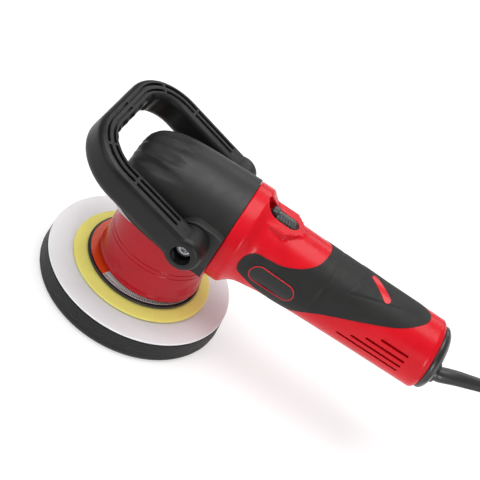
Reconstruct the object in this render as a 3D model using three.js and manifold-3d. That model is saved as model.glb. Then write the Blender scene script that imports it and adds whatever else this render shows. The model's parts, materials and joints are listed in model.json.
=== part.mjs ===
// Dual action polisher, in millimetres, +Z up.
// The origin is on the drive spindle's axis at the pad's working face; +X runs to the tail.
import * as THREE from 'three';
import { mergeVertices } from 'three/addons/utils/BufferGeometryUtils.js';
import Module from 'manifold-3d';

const wasm = await Module();
wasm.setup();

// ---- driving dimensions ----

// gaps between neighbouring pieces
const SEAT_GAP = 0.3;
const RUN_GAP = 0.5;
const AIR_GAP = 0.9;

// sides of round pieces
const FINE = 32;
const MEDIUM = 20;
const SMALL = 12;

// pad and backing plate
const ORBIT_OFFSET = 4;
const PAD_RADIUS = 82.5;
const PAD_FLARE = 1.5;
const PAD_FOAM_HEIGHT = 20;
const PAD_EDGE_ROUND = 2.5;
const LOOP_HEIGHT = 2.2;
const HOOK_HEIGHT = 0.8;
const HOOK_RADIUS = 60;
const CUSHION_RADIUS = 62;
const CUSHION_TOP_RADIUS = 52.4;
const CUSHION_HEIGHT = 4;
const PLATE_RADIUS = 51.2;
const PLATE_HEIGHT = 2.2;
const PLATE_HUB_RADIUS = 15;
const PLATE_HUB_HEIGHT = 4.2;
const LABEL_INSET = 1.2;
const LABEL_HEIGHT = 0.5;
const PIN_RADIUS = 6;
const PIN_LENGTH = 15;
const PIN_COLLAR_RADIUS = 9;
const PIN_COLLAR_HEIGHT = 2.5;

// nose casting
const NOSE_BOTTOM = 34;
const NOSE_RADIUS = 46.3;
const NOSE_WAIST_RADIUS = 44.7;
const NOSE_TOP_RADIUS = 43.4;
const NOSE_LEAN = 2.4;
const NOSE_SQUEEZE = 0.11;
const NOSE_WALL = 3;
const NOSE_TOP = 82;
const NOSE_SHOULDER = 76.5;
const NOSE_NECK_INSET = 6;
const NOSE_DECK_BOTTOM = 66;
const NOSE_DECK_THICKNESS = 4;

// counterweight hub and drive spindle
const HUB_BOTTOM = 37.5;
const HUB_HEIGHT = 21;
const HUB_RADIUS = 23;
const WEIGHT_RADIUS = 38;
const WEIGHT_HEIGHT = 13;
const WEIGHT_ANGLE = 62;
const SPINDLE_RADIUS = 7.5;
const SPINDLE_NECK_RADIUS = 5;
const SPINDLE_TOP = 134;
const PAD_BEARING_RADIUS = 13;
const PAD_BEARING_HEIGHT = 12;
const LOWER_BEARING_RADIUS = 17.5;
const LOWER_BEARING_HEIGHT = 10;
const UPPER_BEARING_RADIUS = 9.5;
const UPPER_BEARING_HEIGHT = 9;
const BEARING_PLATE_RADIUS = 33;
const BEARING_PLATE_HEIGHT = 3.5;

// bevel gears
const RING_TEETH = 33;
const PINION_TEETH = 9;
const GEAR_OUTER = 26;
const GEAR_INNER = 18;
const TOOTH_TIP = 1.2;
const TOOTH_ROOT = 1.5;
const TOOTH_ROOT_HALF_WIDTH = 1.65;
const TOOTH_TIP_HALF_WIDTH = 0.5;
const RING_GEAR_DISC = 4;

// motor
const MOTOR_Z = 110.5;
const SHAFT_RADIUS = 5;
const SHAFT_REAR = 178;
const CORE_RADIUS = 16.5;
const CORE_FRONT = 82;
const CORE_LENGTH = 48;
const WINDING_DEPTH = 3.6;
const FIELD_RING = 4;
const POLE_HALF_WIDTH = 12;
const COIL_OVERHANG = 6;
const COMMUTATOR_RADIUS = 10.5;
const COMMUTATOR_FRONT = 143;
const COMMUTATOR_LENGTH = 13;
const FAN_RADIUS = 25.5;
const FAN_FRONT = 60;
const FAN_DEPTH = 9;
const FAN_BLADES = 9;
const FRONT_BEARING_RADIUS = 14;
const FRONT_BEARING_WIDTH = 8;
const FRONT_BEARING_X = 33.5;
const REAR_BEARING_RADIUS = 11;
const REAR_BEARING_WIDTH = 7;
const REAR_BEARING_X = 166;
const FAN_DISC = 1.5;
const FAN_BLADE_THICKNESS = 1.2;
const COIL_PARTING = 3;
const BRUSH_WIDTH = 6;
const BRUSH_HEIGHT = 9;
const BRUSH_LENGTH = 11;
const HOLDER_WALL = 1.4;

// head cover and gear housing
const COVER_FRONT = -54;
const COVER_REAR = 41.7;
const COVER_RADIUS = 44.2;
const COVER_BOTTOM = 77;
const COVER_WALL = 2.4;
const GEARBOX_WALL = 3.2;
const GEARBOX_REAR_WALL = 11;
const SCREW_BOSS_LENGTH = 9;
const SCREW_BOSS_SINK = 2;
const SCREW_BOSS_WALL = 4;
const FOOT_PAD_Y = 47.3;

// body shells
const FLANGE_FRONT = 42;
const FLANGE_FACE_DEPTH = 7;
const FLANGE_BORE = 31;
const FLANGE_REAR = 54;
const FLANGE_RADIUS = 43.5;
const NECK_X = 62;
const NECK_RADIUS = 37;
const BODY_FRONT_RADIUS = 32.4;
const BODY_FRONT_X = 90;
const BODY_RADIUS = 31;
const BODY_MIDDLE_X = 150;
const TAIL_RADIUS = 30.3;
const TAIL_X = 230;
const TAIL_CHAMFER = 3.5;
const TAIL_RISE = 0.8;
const SHELL_WALL = 3.2;
const SEAM_GAP = 0.3;
const PLATEAU_HALF_WIDTH = 17;
const PLATEAU_HEIGHT = 34;
const PLATEAU_REAR = 85;
const TAIL_SLANT = 0.09;
const CAP_LENGTH = 12;

// shell screws: place along the body and height from its axis
const SHELL_SCREWS = [[76, -29.5], [140, -25], [176, -19], [222, 19]];
const SHELL_BOSS_RADIUS = 3.6;
const SHELL_BOSS_REACH = 17;
const SHELL_SCREW_RADIUS = 1.5;
const SHELL_SCREW_REACH = 12;
const SHELL_HEAD_RADIUS = 3;
const SHELL_HEAD_HEIGHT = 2.2;
const SHELL_HEAD_Y = 10.5;

// switch
const TRACK_FRONT = 53.5;
const TRACK_REAR = 85.6;
const TRACK_HALF_WIDTH = 7;
const TRACK_DEPTH = 3.4;
const TRACK_FLOOR_THICKNESS = 2;
const KNOB_FRONT = 59;
const KNOB_LENGTH = 26;
const KNOB_HEIGHT = 3.6;
const LUG_LENGTH = 6;
const LUG_HEIGHT = 4;
const LUG_HALF_WIDTH = 4.5;
const STEM_X = 70;
const STEM_LENGTH = 6;
const STEM_WIDTH = 4;
const SWITCH_TRAVEL = 4.5;
const ROD_THICKNESS = 1.4;
const ROD_WIDTH = 5;
const ROD_BOTTOM = 26;
const SWITCH_X = 190;
const SWITCH_LENGTH = 22;

// grips
const GRIP_DEPTH = 2;
const BADGE_LENGTH = 42;
const BADGE_HEIGHT = 18;
const BADGE_THICKNESS = 0.9;
const BADGE_X = 91;
const BADGE_TILT = 0.07;
const PROUD = 0.15;
const INLAY_X = 165.5;
const INLAY_LENGTH = 26;
const INLAY_WIDTH = 6;
const INLAY_Y = -3;
const INLAY_TURN = -0.7;
const VENT_WIDTH = 1.5;
const VENT_PITCH = 5.7;
const VENT_COUNT = 4;
const VENT_FIRST_X = 185.5;
const VENT_STAGGER = 10.4;
const VENT_REAR = 211;
const VENT_REAR_RIGHT = 200;
const VENT_TOP_Z = 120;

// speed dial
const DIAL_X = 216;
const DIAL_RADIUS = 11.5;
const DIAL_THICKNESS = 5;
const DIAL_PROUD = 1.8;
const DIAL_AXLE_RADIUS = 2;
const MODULE_X = 182;
const MODULE_LENGTH = 28;

// front handle
const HANDLE_HALF_SPAN = 59.2;
const HANDLE_FOOT_X = 21;
const HANDLE_FOOT_Z = 113.7;
const HANDLE_REACH = 103;
const HANDLE_TILT = 16;
const HANDLE_BAR_DEPTH = 26;
const HANDLE_LEG_WIDTH = 22.6;
const HANDLE_BAR_WIDTH = 20;
const HANDLE_CORNER = 34;
const FOOT_RADIUS = 15;
const FOOT_OUTER_Y = 70.5;
const HANDLE_EDGE = 8;
const SCREW_RADIUS = 4;
const SCREW_HEAD_RADIUS = 6.5;
const SCREW_HEAD_HEIGHT = 5;
const SCREW_SOCKET_RADIUS = 3;
const COUNTERBORE_RADIUS = 8.2;
const COUNTERBORE_DEPTH = 14;

// lead
const CORD_RADIUS = 4;
const CORD_SIDES = 10;
const RELIEF_ROOT_RADIUS = 6.6;
const RELIEF_TIP_RADIUS = 5.2;
const RELIEF_SIDES = 12;
const COIL_RADIUS = 44;
const COIL_BAND = 32.6;
const COIL_HEIGHT = 16.5;
const COIL_LIFT = 1.2;
const COIL_CENTRE = [405, 0, 0];
const TIE_THICKNESS = 0.7;
const TIE_HALF_WIDTH = 6;
const PLUG_REAR = 356;
const PLUG_LENGTH = 34;
const PLUG_EDGE = 4;
const BLADE_ROOT = 7;
const PLUG_HEIGHT = 18;
const PLUG_WIDTH = 24;
const BLADE_LENGTH = 16;
const BLADE_WIDTH = 6.3;
const BLADE_THICKNESS = 1.5;
const BLADE_SPACING = 12.7;

// ---- derived places ----

const LOOP_BOTTOM = PAD_FOAM_HEIGHT + SEAT_GAP;
const HOOK_BOTTOM = LOOP_BOTTOM + LOOP_HEIGHT + SEAT_GAP;
const CUSHION_BOTTOM = HOOK_BOTTOM + HOOK_HEIGHT + SEAT_GAP;
const CUSHION_TOP = CUSHION_BOTTOM + CUSHION_HEIGHT;
const PLATE_BOTTOM = CUSHION_TOP + SEAT_GAP;
const PLATE_TOP = PLATE_BOTTOM + PLATE_HEIGHT;
const LABEL_BOTTOM = PLATE_TOP + SEAT_GAP;
const PIN_BOTTOM = PLATE_TOP + PLATE_HUB_HEIGHT + SEAT_GAP;
const PAD_BEARING_BOTTOM = PIN_BOTTOM + PIN_COLLAR_HEIGHT + SEAT_GAP;
const PIN_TOP = PAD_BEARING_BOTTOM + PIN_LENGTH;
const PAD_BEARING_TOP = PAD_BEARING_BOTTOM + PAD_BEARING_HEIGHT;
const HUB_TOP = HUB_BOTTOM + HUB_HEIGHT;
const NOSE_DECK_TOP = NOSE_DECK_BOTTOM + NOSE_DECK_THICKNESS;
const LOWER_BEARING_BOTTOM = NOSE_DECK_TOP + SEAT_GAP;
const LOWER_BEARING_TOP = LOWER_BEARING_BOTTOM + LOWER_BEARING_HEIGHT;
const BEARING_PLATE_BOTTOM = NOSE_TOP + SEAT_GAP;
const BEARING_PLATE_TOP = BEARING_PLATE_BOTTOM + BEARING_PLATE_HEIGHT;
const UPPER_BEARING_BOTTOM = SPINDLE_TOP - UPPER_BEARING_HEIGHT - 1;
const FIELD_INNER = CORE_RADIUS + AIR_GAP;
const FIELD_RING_INNER = FIELD_INNER + WINDING_DEPTH;
const FIELD_RADIUS = FIELD_RING_INNER + FIELD_RING;
const CORE_REAR = CORE_FRONT + CORE_LENGTH;
const CAP_FRONT = TAIL_X + SEAT_GAP;
const PINION_REAR = GEAR_OUTER + 2;
const PINION_OUTER_RADIUS = GEAR_OUTER * PINION_TEETH / RING_TEETH;
const RADIANS = Math.PI / 180;
const FOOT_INNER_Y = FOOT_PAD_Y + SEAT_GAP;
const RELIEF_AXIS = [0, -1, 101];
const TRACK_FLOOR = PLATEAU_HEIGHT - TRACK_DEPTH;
const TRACK_BASE = TRACK_FLOOR - TRACK_FLOOR_THICKNESS;
const DIAL_Y = TAIL_RADIUS + DIAL_PROUD - DIAL_RADIUS;
const DIAL_Z = MOTOR_Z + 0.5;

// ---- solids ----

// Swaps each triangle's winding when a closed shape encloses a negative volume.
function facingOut(geometry) {
  const point = geometry.attributes.position;
  const index = geometry.index.array;
  const a = new THREE.Vector3();
  const b = new THREE.Vector3();
  const c = new THREE.Vector3();
  let volume = 0;
  for (let i = 0; i < index.length; i += 3) {
    a.fromBufferAttribute(point, index[i]);
    b.fromBufferAttribute(point, index[i + 1]);
    c.fromBufferAttribute(point, index[i + 2]);
    volume += a.dot(b.cross(c));
  }
  if (volume < 0) {
    for (let i = 0; i < index.length; i += 3) {
      [index[i], index[i + 1]] = [index[i + 1], index[i]];
    }
  }
  return geometry;
}

// Turns a closed three.js geometry into a solid that can be joined and cut.
function solid(geometry) {
  geometry.deleteAttribute('normal');
  geometry.deleteAttribute('uv');
  const merged = mergeVertices(geometry, 1e-4);
  const corners = [];
  for (let i = 0; i < merged.index.count; i += 3) {
    const [a, b, c] = [0, 1, 2].map((k) => merged.index.getX(i + k));
    if (a !== b && b !== c && c !== a) {
      corners.push(a, b, c);
    }
  }
  merged.setIndex(corners);
  facingOut(merged);
  return new wasm.Manifold(new wasm.Mesh({
    numProp: 3,
    vertProperties: Float32Array.from(merged.attributes.position.array),
    triVerts: Uint32Array.from(merged.index.array),
  }));
}

function geometryOf(body) {
  const mesh = body.getMesh();
  const geometry = new THREE.BufferGeometry();
  geometry.setAttribute('position', new THREE.BufferAttribute(Float32Array.from(mesh.vertProperties), 3));
  geometry.setIndex(Array.from(mesh.triVerts));
  geometry.computeVertexNormals();
  return geometry;
}

const joined = (first, ...others) => others.reduce((all, other) => all.add(other), first);
const cut = (first, ...others) => others.reduce((left, other) => left.subtract(other), first);

// Stands a shape that was made about the Y axis on another axis, and moves it.
function stand(geometry, axis, [x, y, z] = [0, 0, 0]) {
  if (axis === 'z') {
    geometry.rotateX(Math.PI / 2);
  } else if (axis === 'x') {
    geometry.rotateZ(-Math.PI / 2);
  }
  return geometry.translate(x, y, z);
}

// A round shape from [radius, place along the axis] points.
function turned(profile, axis, centre, sides = MEDIUM) {
  const points = profile.map(([radius, along]) => new THREE.Vector2(radius, along));
  return solid(stand(new THREE.LatheGeometry(points, sides), axis, centre));
}

function rod(radius, from, to, axis, centre, sides = SMALL) {
  return turned([[0, from], [radius, from], [radius, to], [0, to]], axis, centre, sides);
}

function ring(outer, inner, from, to, axis, centre, sides = MEDIUM) {
  return turned([[inner, from], [outer, from], [outer, to], [inner, to], [inner, from]], axis, centre, sides);
}

function block([x0, x1], [y0, y1], [z0, z1]) {
  const box = new THREE.BoxGeometry(x1 - x0, y1 - y0, z1 - z0);
  return solid(box.translate((x0 + x1) / 2, (y0 + y1) / 2, (z0 + z1) / 2));
}

// A flat outline in X and Z, given thickness along Y.
function slabAlongY(shape, y0, y1, steps = 6) {
  const geometry = new THREE.ExtrudeGeometry(shape, { depth: y1 - y0, bevelEnabled: false, curveSegments: steps });
  return solid(geometry.rotateX(Math.PI / 2).translate(0, y1, 0));
}

// A closed skin through rings of points, with a fan over each end.
function skinned(rings) {
  const count = rings[0].length;
  const points = rings.flat();
  const faces = [];
  for (let r = 0; r + 1 < rings.length; r += 1) {
    for (let k = 0; k < count; k += 1) {
      const a = r * count + k;
      const b = r * count + (k + 1) % count;
      faces.push(a, b, b + count, a, b + count, a + count);
    }
  }
  [0, rings.length - 1].forEach((r, end) => {
    const middle = rings[r].reduce((sum, p) => sum.add(p), new THREE.Vector3()).divideScalar(count);
    const centre = points.push(middle) - 1;
    for (let k = 0; k < count; k += 1) {
      const a = r * count + k;
      const b = r * count + (k + 1) % count;
      faces.push(...(end ? [a, b, centre] : [b, a, centre]));
    }
  });
  const geometry = new THREE.BufferGeometry().setFromPoints(points);
  geometry.setIndex(faces);
  return solid(geometry);
}

// ---- materials and pieces ----

const paint = (color, roughness, metalness = 0) => ({ color, roughness, metalness });
const FINISH = {
  redGloss: paint(0xb8182c, 0.15),
  red: paint(0xd8253a, 0.4),
  rubber: paint(0x343533, 0.75),
  black: paint(0x222222, 0.5),
  foam: paint(0x262626, 0.95),
  loop: paint(0xe4e4e6, 0.9),
  hook: paint(0x1c1c1c, 0.9),
  urethane: paint(0xf6dc74, 0.6),
  label: paint(0xf04a1c, 0.4),
  steel: paint(0xb9bcc0, 0.3, 1),
  blackSteel: paint(0x3a3a3c, 0.4, 1),
  aluminium: paint(0xb4b6b8, 0.45, 1),
  copper: paint(0xb5652e, 0.4, 1),
  brass: paint(0xc9a24d, 0.3, 1),
  laminate: paint(0x6d6f72, 0.5, 1),
  carbon: paint(0x2a2a2c, 0.8),
  board: paint(0x1f5a34, 0.6),
  nylon: paint(0xd9d6cc, 0.6),
};

const group = new THREE.Group();

function piece(name, finish, body) {
  const mesh = new THREE.Mesh(geometryOf(body), new THREE.MeshStandardMaterial(FINISH[finish]));
  mesh.name = name;
  group.add(mesh);
}

// ---- pad and backing plate, on the pad axis ----

const PAD_AXIS = [-ORBIT_OFFSET, 0, 0];

function makePad() {
  const bottom = PAD_RADIUS + PAD_FLARE;
  piece('foam_pad', 'foam', turned([
    [0, 0],
    [bottom - PAD_EDGE_ROUND, 0],
    [bottom, PAD_EDGE_ROUND],
    [PAD_RADIUS, PAD_FOAM_HEIGHT],
    [0, PAD_FOAM_HEIGHT],
  ], 'z', PAD_AXIS, FINE));
  const loopTop = LOOP_BOTTOM + LOOP_HEIGHT;
  piece('pad_loop_face', 'loop', rod(PAD_RADIUS, LOOP_BOTTOM, loopTop, 'z', PAD_AXIS, FINE));
}

function makeBackingPlate() {
  piece('hook_sheet', 'hook', rod(HOOK_RADIUS, HOOK_BOTTOM, HOOK_BOTTOM + HOOK_HEIGHT, 'z', PAD_AXIS, FINE));
  piece('plate_cushion', 'urethane', turned([
    [0, CUSHION_BOTTOM],
    [CUSHION_RADIUS, CUSHION_BOTTOM],
    [CUSHION_TOP_RADIUS, CUSHION_TOP],
    [0, CUSHION_TOP],
  ], 'z', PAD_AXIS, FINE));
  piece('backing_plate', 'black', turned([
    [0, PLATE_BOTTOM],
    [PLATE_RADIUS, PLATE_BOTTOM],
    [PLATE_RADIUS, PLATE_TOP],
    [PLATE_HUB_RADIUS, PLATE_TOP],
    [PLATE_HUB_RADIUS - 1, PLATE_TOP + PLATE_HUB_HEIGHT],
    [0, PLATE_TOP + PLATE_HUB_HEIGHT],
  ], 'z', PAD_AXIS, FINE));
  const labelOuter = PLATE_RADIUS - LABEL_INSET;
  const labelInner = PLATE_HUB_RADIUS + LABEL_INSET;
  piece('label_disc', 'label',
    ring(labelOuter, labelInner, LABEL_BOTTOM, LABEL_BOTTOM + LABEL_HEIGHT, 'z', PAD_AXIS, FINE));
  piece('pad_pin', 'steel', turned([
    [0, PIN_BOTTOM],
    [PIN_COLLAR_RADIUS, PIN_BOTTOM],
    [PIN_COLLAR_RADIUS, PIN_BOTTOM + PIN_COLLAR_HEIGHT],
    [PIN_RADIUS, PIN_BOTTOM + PIN_COLLAR_HEIGHT],
    [PIN_RADIUS, PIN_TOP],
    [0, PIN_TOP],
  ], 'z', PAD_AXIS, SMALL));
}

// ---- spindle, counterweight hub and ring gear ----

const CENTRE = [0, 0, 0];

function makeHub() {
  const lobe = new THREE.Shape();
  const half = WEIGHT_ANGLE * RADIANS;
  lobe.absarc(0, 0, WEIGHT_RADIUS, -half, half, false);
  lobe.lineTo(0, 0);
  const weight = new THREE.ExtrudeGeometry(lobe, { depth: WEIGHT_HEIGHT, bevelEnabled: false, curveSegments: 14 });
  const disc = rod(HUB_RADIUS, HUB_BOTTOM, HUB_TOP, 'z', CENTRE, MEDIUM);
  const pocketRadius = PAD_BEARING_RADIUS + SEAT_GAP;
  const pocket = rod(pocketRadius, HUB_BOTTOM - 1, PAD_BEARING_TOP + SEAT_GAP, 'z', PAD_AXIS, MEDIUM);
  const pinRoom = rod(PIN_RADIUS + RUN_GAP, HUB_BOTTOM - 1, PIN_TOP + RUN_GAP, 'z', PAD_AXIS, SMALL);
  const bore = rod(SPINDLE_NECK_RADIUS + SEAT_GAP, PIN_TOP, HUB_TOP + 1, 'z', CENTRE, SMALL);
  piece('counterweight_hub', 'blackSteel',
    cut(joined(solid(weight.translate(0, 0, HUB_BOTTOM)), disc), pocket, pinRoom, bore));
  piece('pad_bearing', 'steel',
    ring(PAD_BEARING_RADIUS, PIN_RADIUS + SEAT_GAP, PAD_BEARING_BOTTOM, PAD_BEARING_TOP, 'z', PAD_AXIS, MEDIUM));
}

function makeSpindle() {
  const shoulder = HUB_TOP + SEAT_GAP;
  piece('drive_spindle', 'steel', turned([
    [0, PIN_TOP + RUN_GAP + SEAT_GAP],
    [SPINDLE_NECK_RADIUS, PIN_TOP + RUN_GAP + SEAT_GAP],
    [SPINDLE_NECK_RADIUS, shoulder],
    [SPINDLE_RADIUS, shoulder],
    [SPINDLE_RADIUS, RING_GEAR_BOTTOM - SEAT_GAP],
    [SPINDLE_NECK_RADIUS, RING_GEAR_BOTTOM - SEAT_GAP],
    [SPINDLE_NECK_RADIUS, SPINDLE_TOP],
    [0, SPINDLE_TOP],
  ], 'z', CENTRE, SMALL));
}

// One bevel tooth: a wedge whose section shrinks towards the point where the two gear axes meet.
function bevelTooth(side) {
  const rings = [GEAR_OUTER, GEAR_INNER].map((reach) => {
    const scale = reach / GEAR_OUTER;
    const pitch = PINION_OUTER_RADIUS * scale;
    const section = [
      [-TOOTH_ROOT_HALF_WIDTH, -TOOTH_ROOT - SEAT_GAP],
      [TOOTH_ROOT_HALF_WIDTH, -TOOTH_ROOT - SEAT_GAP],
      [TOOTH_TIP_HALF_WIDTH, TOOTH_TIP],
      [-TOOTH_TIP_HALF_WIDTH, TOOTH_TIP],
    ];
    return section.map(([across, up]) => new THREE.Vector3(reach, across * scale, -pitch + side * up * scale));
  });
  return rings;
}

function turnedTeeth(side, count, axis, offset) {
  return Array.from({ length: count }, (_, k) => {
    const angle = (k + offset) * 2 * Math.PI / count;
    return skinned(bevelTooth(side).map((points) => points.map(
      (p) => p.applyAxisAngle(axis, angle).add(new THREE.Vector3(0, 0, MOTOR_Z)),
    )));
  });
}

const ringFace = (radius) => MOTOR_Z - (PINION_OUTER_RADIUS + TOOTH_ROOT) * radius / GEAR_OUTER;
const RING_GEAR_TOP = ringFace(GEAR_OUTER);
const RING_GEAR_BOTTOM = RING_GEAR_TOP - RING_GEAR_DISC;

function makeRingGear() {
  const bore = SPINDLE_NECK_RADIUS + SEAT_GAP;
  const rim = GEAR_OUTER + 0.6;
  const inner = GEAR_INNER - 1;
  const disc = turned([
    [bore, RING_GEAR_BOTTOM],
    [rim, RING_GEAR_BOTTOM],
    [rim, ringFace(rim)],
    [inner, ringFace(inner)],
    [inner, RING_GEAR_TOP],
    [bore, RING_GEAR_TOP],
    [bore, RING_GEAR_BOTTOM],
  ], 'z', CENTRE, 33);
  piece('ring_gear', 'steel', joined(disc, ...turnedTeeth(1, RING_TEETH, new THREE.Vector3(0, 0, 1), 0)));
}

// ---- armature, on the motor axis ----

const MOTOR = [0, 0, MOTOR_Z];

function makePinion() {
  const core = (x) => (PINION_OUTER_RADIUS - TOOTH_ROOT) * x / GEAR_OUTER;
  const body = turned([
    [0, GEAR_INNER],
    [core(GEAR_INNER), GEAR_INNER],
    [core(GEAR_OUTER), GEAR_OUTER],
    [core(GEAR_OUTER), PINION_REAR],
    [0, PINION_REAR],
  ], 'x', MOTOR, SMALL);
  piece('pinion', 'steel', joined(body, ...turnedTeeth(-1, PINION_TEETH, new THREE.Vector3(1, 0, 0), 0.5)));
}

function makeArmature() {
  piece('armature_shaft', 'steel', turned([
    [0, PINION_REAR + SEAT_GAP],
    [SHAFT_RADIUS, PINION_REAR + SEAT_GAP],
    [SHAFT_RADIUS, REAR_BEARING_X],
    [SHAFT_RADIUS - 1, REAR_BEARING_X],
    [SHAFT_RADIUS - 1, SHAFT_REAR],
    [0, SHAFT_REAR],
  ], 'x', MOTOR, SMALL));
  const bore = SHAFT_RADIUS + SEAT_GAP;
  piece('armature_core', 'laminate', ring(CORE_RADIUS, bore, CORE_FRONT, CORE_REAR, 'x', MOTOR, MEDIUM));
  const commutatorRear = COMMUTATOR_FRONT + COMMUTATOR_LENGTH;
  piece('commutator', 'copper', ring(COMMUTATOR_RADIUS, bore, COMMUTATOR_FRONT, commutatorRear, 'x', MOTOR, MEDIUM));
}

function makeFan() {
  const hub = ring(SHAFT_RADIUS + 4, SHAFT_RADIUS + SEAT_GAP, FAN_FRONT, FAN_FRONT + FAN_DEPTH, 'x', MOTOR, MEDIUM);
  const disc = ring(FAN_RADIUS, SHAFT_RADIUS + 2, FAN_FRONT, FAN_FRONT + FAN_DISC, 'x', MOTOR, 27);
  const blades = Array.from({ length: FAN_BLADES }, (_, k) => {
    const blade = new THREE.BoxGeometry(FAN_DEPTH - 1, FAN_BLADE_THICKNESS, FAN_RADIUS - SHAFT_RADIUS - 4);
    blade.translate(FAN_FRONT + FAN_DEPTH / 2 + 0.2, 0, (FAN_RADIUS + SHAFT_RADIUS + 2) / 2);
    blade.rotateX(k * 2 * Math.PI / FAN_BLADES);
    return solid(blade.translate(0, 0, MOTOR_Z));
  });
  piece('cooling_fan', 'black', joined(hub, disc, ...blades));
}

// ---- fixed motor pieces ----

function makeField() {
  const poleReach = FIELD_RING_INNER + 1;
  const poles = block([CORE_FRONT, CORE_REAR], [-POLE_HALF_WIDTH, POLE_HALF_WIDTH],
    [MOTOR_Z - poleReach, MOTOR_Z + poleReach]);
  const bore = rod(FIELD_INNER, CORE_FRONT - 1, CORE_REAR + 1, 'x', MOTOR, MEDIUM);
  const hoop = ring(FIELD_RADIUS, FIELD_RING_INNER, CORE_FRONT, CORE_REAR, 'x', MOTOR, MEDIUM);
  piece('field_core', 'laminate', joined(cut(poles, bore), hoop));
  const front = CORE_FRONT - COIL_OVERHANG;
  const rear = CORE_REAR + COIL_OVERHANG;
  const shell = ring(FIELD_RING_INNER - SEAT_GAP, FIELD_INNER + SEAT_GAP, front, rear, 'x', MOTOR, MEDIUM);
  const half = POLE_HALF_WIDTH + SEAT_GAP;
  const window = block([CORE_FRONT - SEAT_GAP, CORE_REAR + SEAT_GAP], [-half, half],
    [MOTOR_Z - FIELD_RADIUS, MOTOR_Z + FIELD_RADIUS]);
  const wound = cut(shell, window);
  [['upper', 1], ['lower', -1]].forEach(([name, way]) => {
    const near = MOTOR_Z + way * COIL_PARTING;
    const far = MOTOR_Z + way * FIELD_RADIUS;
    const keep = block([front - 1, rear + 1], [-FIELD_RADIUS, FIELD_RADIUS],
      [Math.min(near, far), Math.max(near, far)]);
    piece(`field_coil_${name}`, 'copper', wound.intersect(keep));
  });
}

function makeMotorBearings() {
  const frontRear = FRONT_BEARING_X + FRONT_BEARING_WIDTH;
  const rearRear = REAR_BEARING_X + REAR_BEARING_WIDTH;
  piece('motor_bearing_front', 'steel',
    ring(FRONT_BEARING_RADIUS, SHAFT_RADIUS + SEAT_GAP, FRONT_BEARING_X, frontRear, 'x', MOTOR, MEDIUM));
  piece('motor_bearing_rear', 'steel',
    ring(REAR_BEARING_RADIUS, SHAFT_RADIUS - 1 + SEAT_GAP, REAR_BEARING_X + SEAT_GAP, rearRear, 'x', MOTOR, MEDIUM));
}

function makeBrushes() {
  const x = COMMUTATOR_FRONT + COMMUTATOR_LENGTH / 2;
  const tip = COMMUTATOR_RADIUS + SEAT_GAP;
  const hole = [BRUSH_WIDTH / 2 + SEAT_GAP, BRUSH_HEIGHT / 2 + SEAT_GAP];
  const body = hole.map((half) => half + HOLDER_WALL);
  const centred = (middle, half) => [middle - half, middle + half];
  [['left', -1], ['right', 1]].forEach(([name, way]) => {
    const span = (from, to) => (way > 0 ? [from, to] : [-to, -from]);
    piece(`brush_${name}`, 'carbon', block(centred(x, BRUSH_WIDTH / 2), span(tip, tip + BRUSH_LENGTH),
      centred(MOTOR_Z, BRUSH_HEIGHT / 2)));
    const outer = block(centred(x, body[0]), span(tip + 2, tip + BRUSH_LENGTH + 3), centred(MOTOR_Z, body[1]));
    const inner = block(centred(x, hole[0]), span(tip, tip + BRUSH_LENGTH + 4), centred(MOTOR_Z, hole[1]));
    piece(`brush_holder_${name}`, 'brass', cut(outer, inner));
  });
}

// ---- nose casting and spindle bearings ----

function noseBody(profile) {
  const points = profile.map(([radius, z]) => new THREE.Vector2(radius, z));
  const geometry = stand(new THREE.LatheGeometry(points, FINE), 'z');
  const place = geometry.attributes.position;
  for (let i = 0; i < place.count; i += 1) {
    const rise = (place.getZ(i) - NOSE_BOTTOM) / (NOSE_SHOULDER - NOSE_BOTTOM);
    place.setY(i, place.getY(i) * (1 - NOSE_SQUEEZE * rise));
    place.setX(i, place.getX(i) - NOSE_LEAN * rise);
  }
  return solid(geometry);
}

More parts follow.
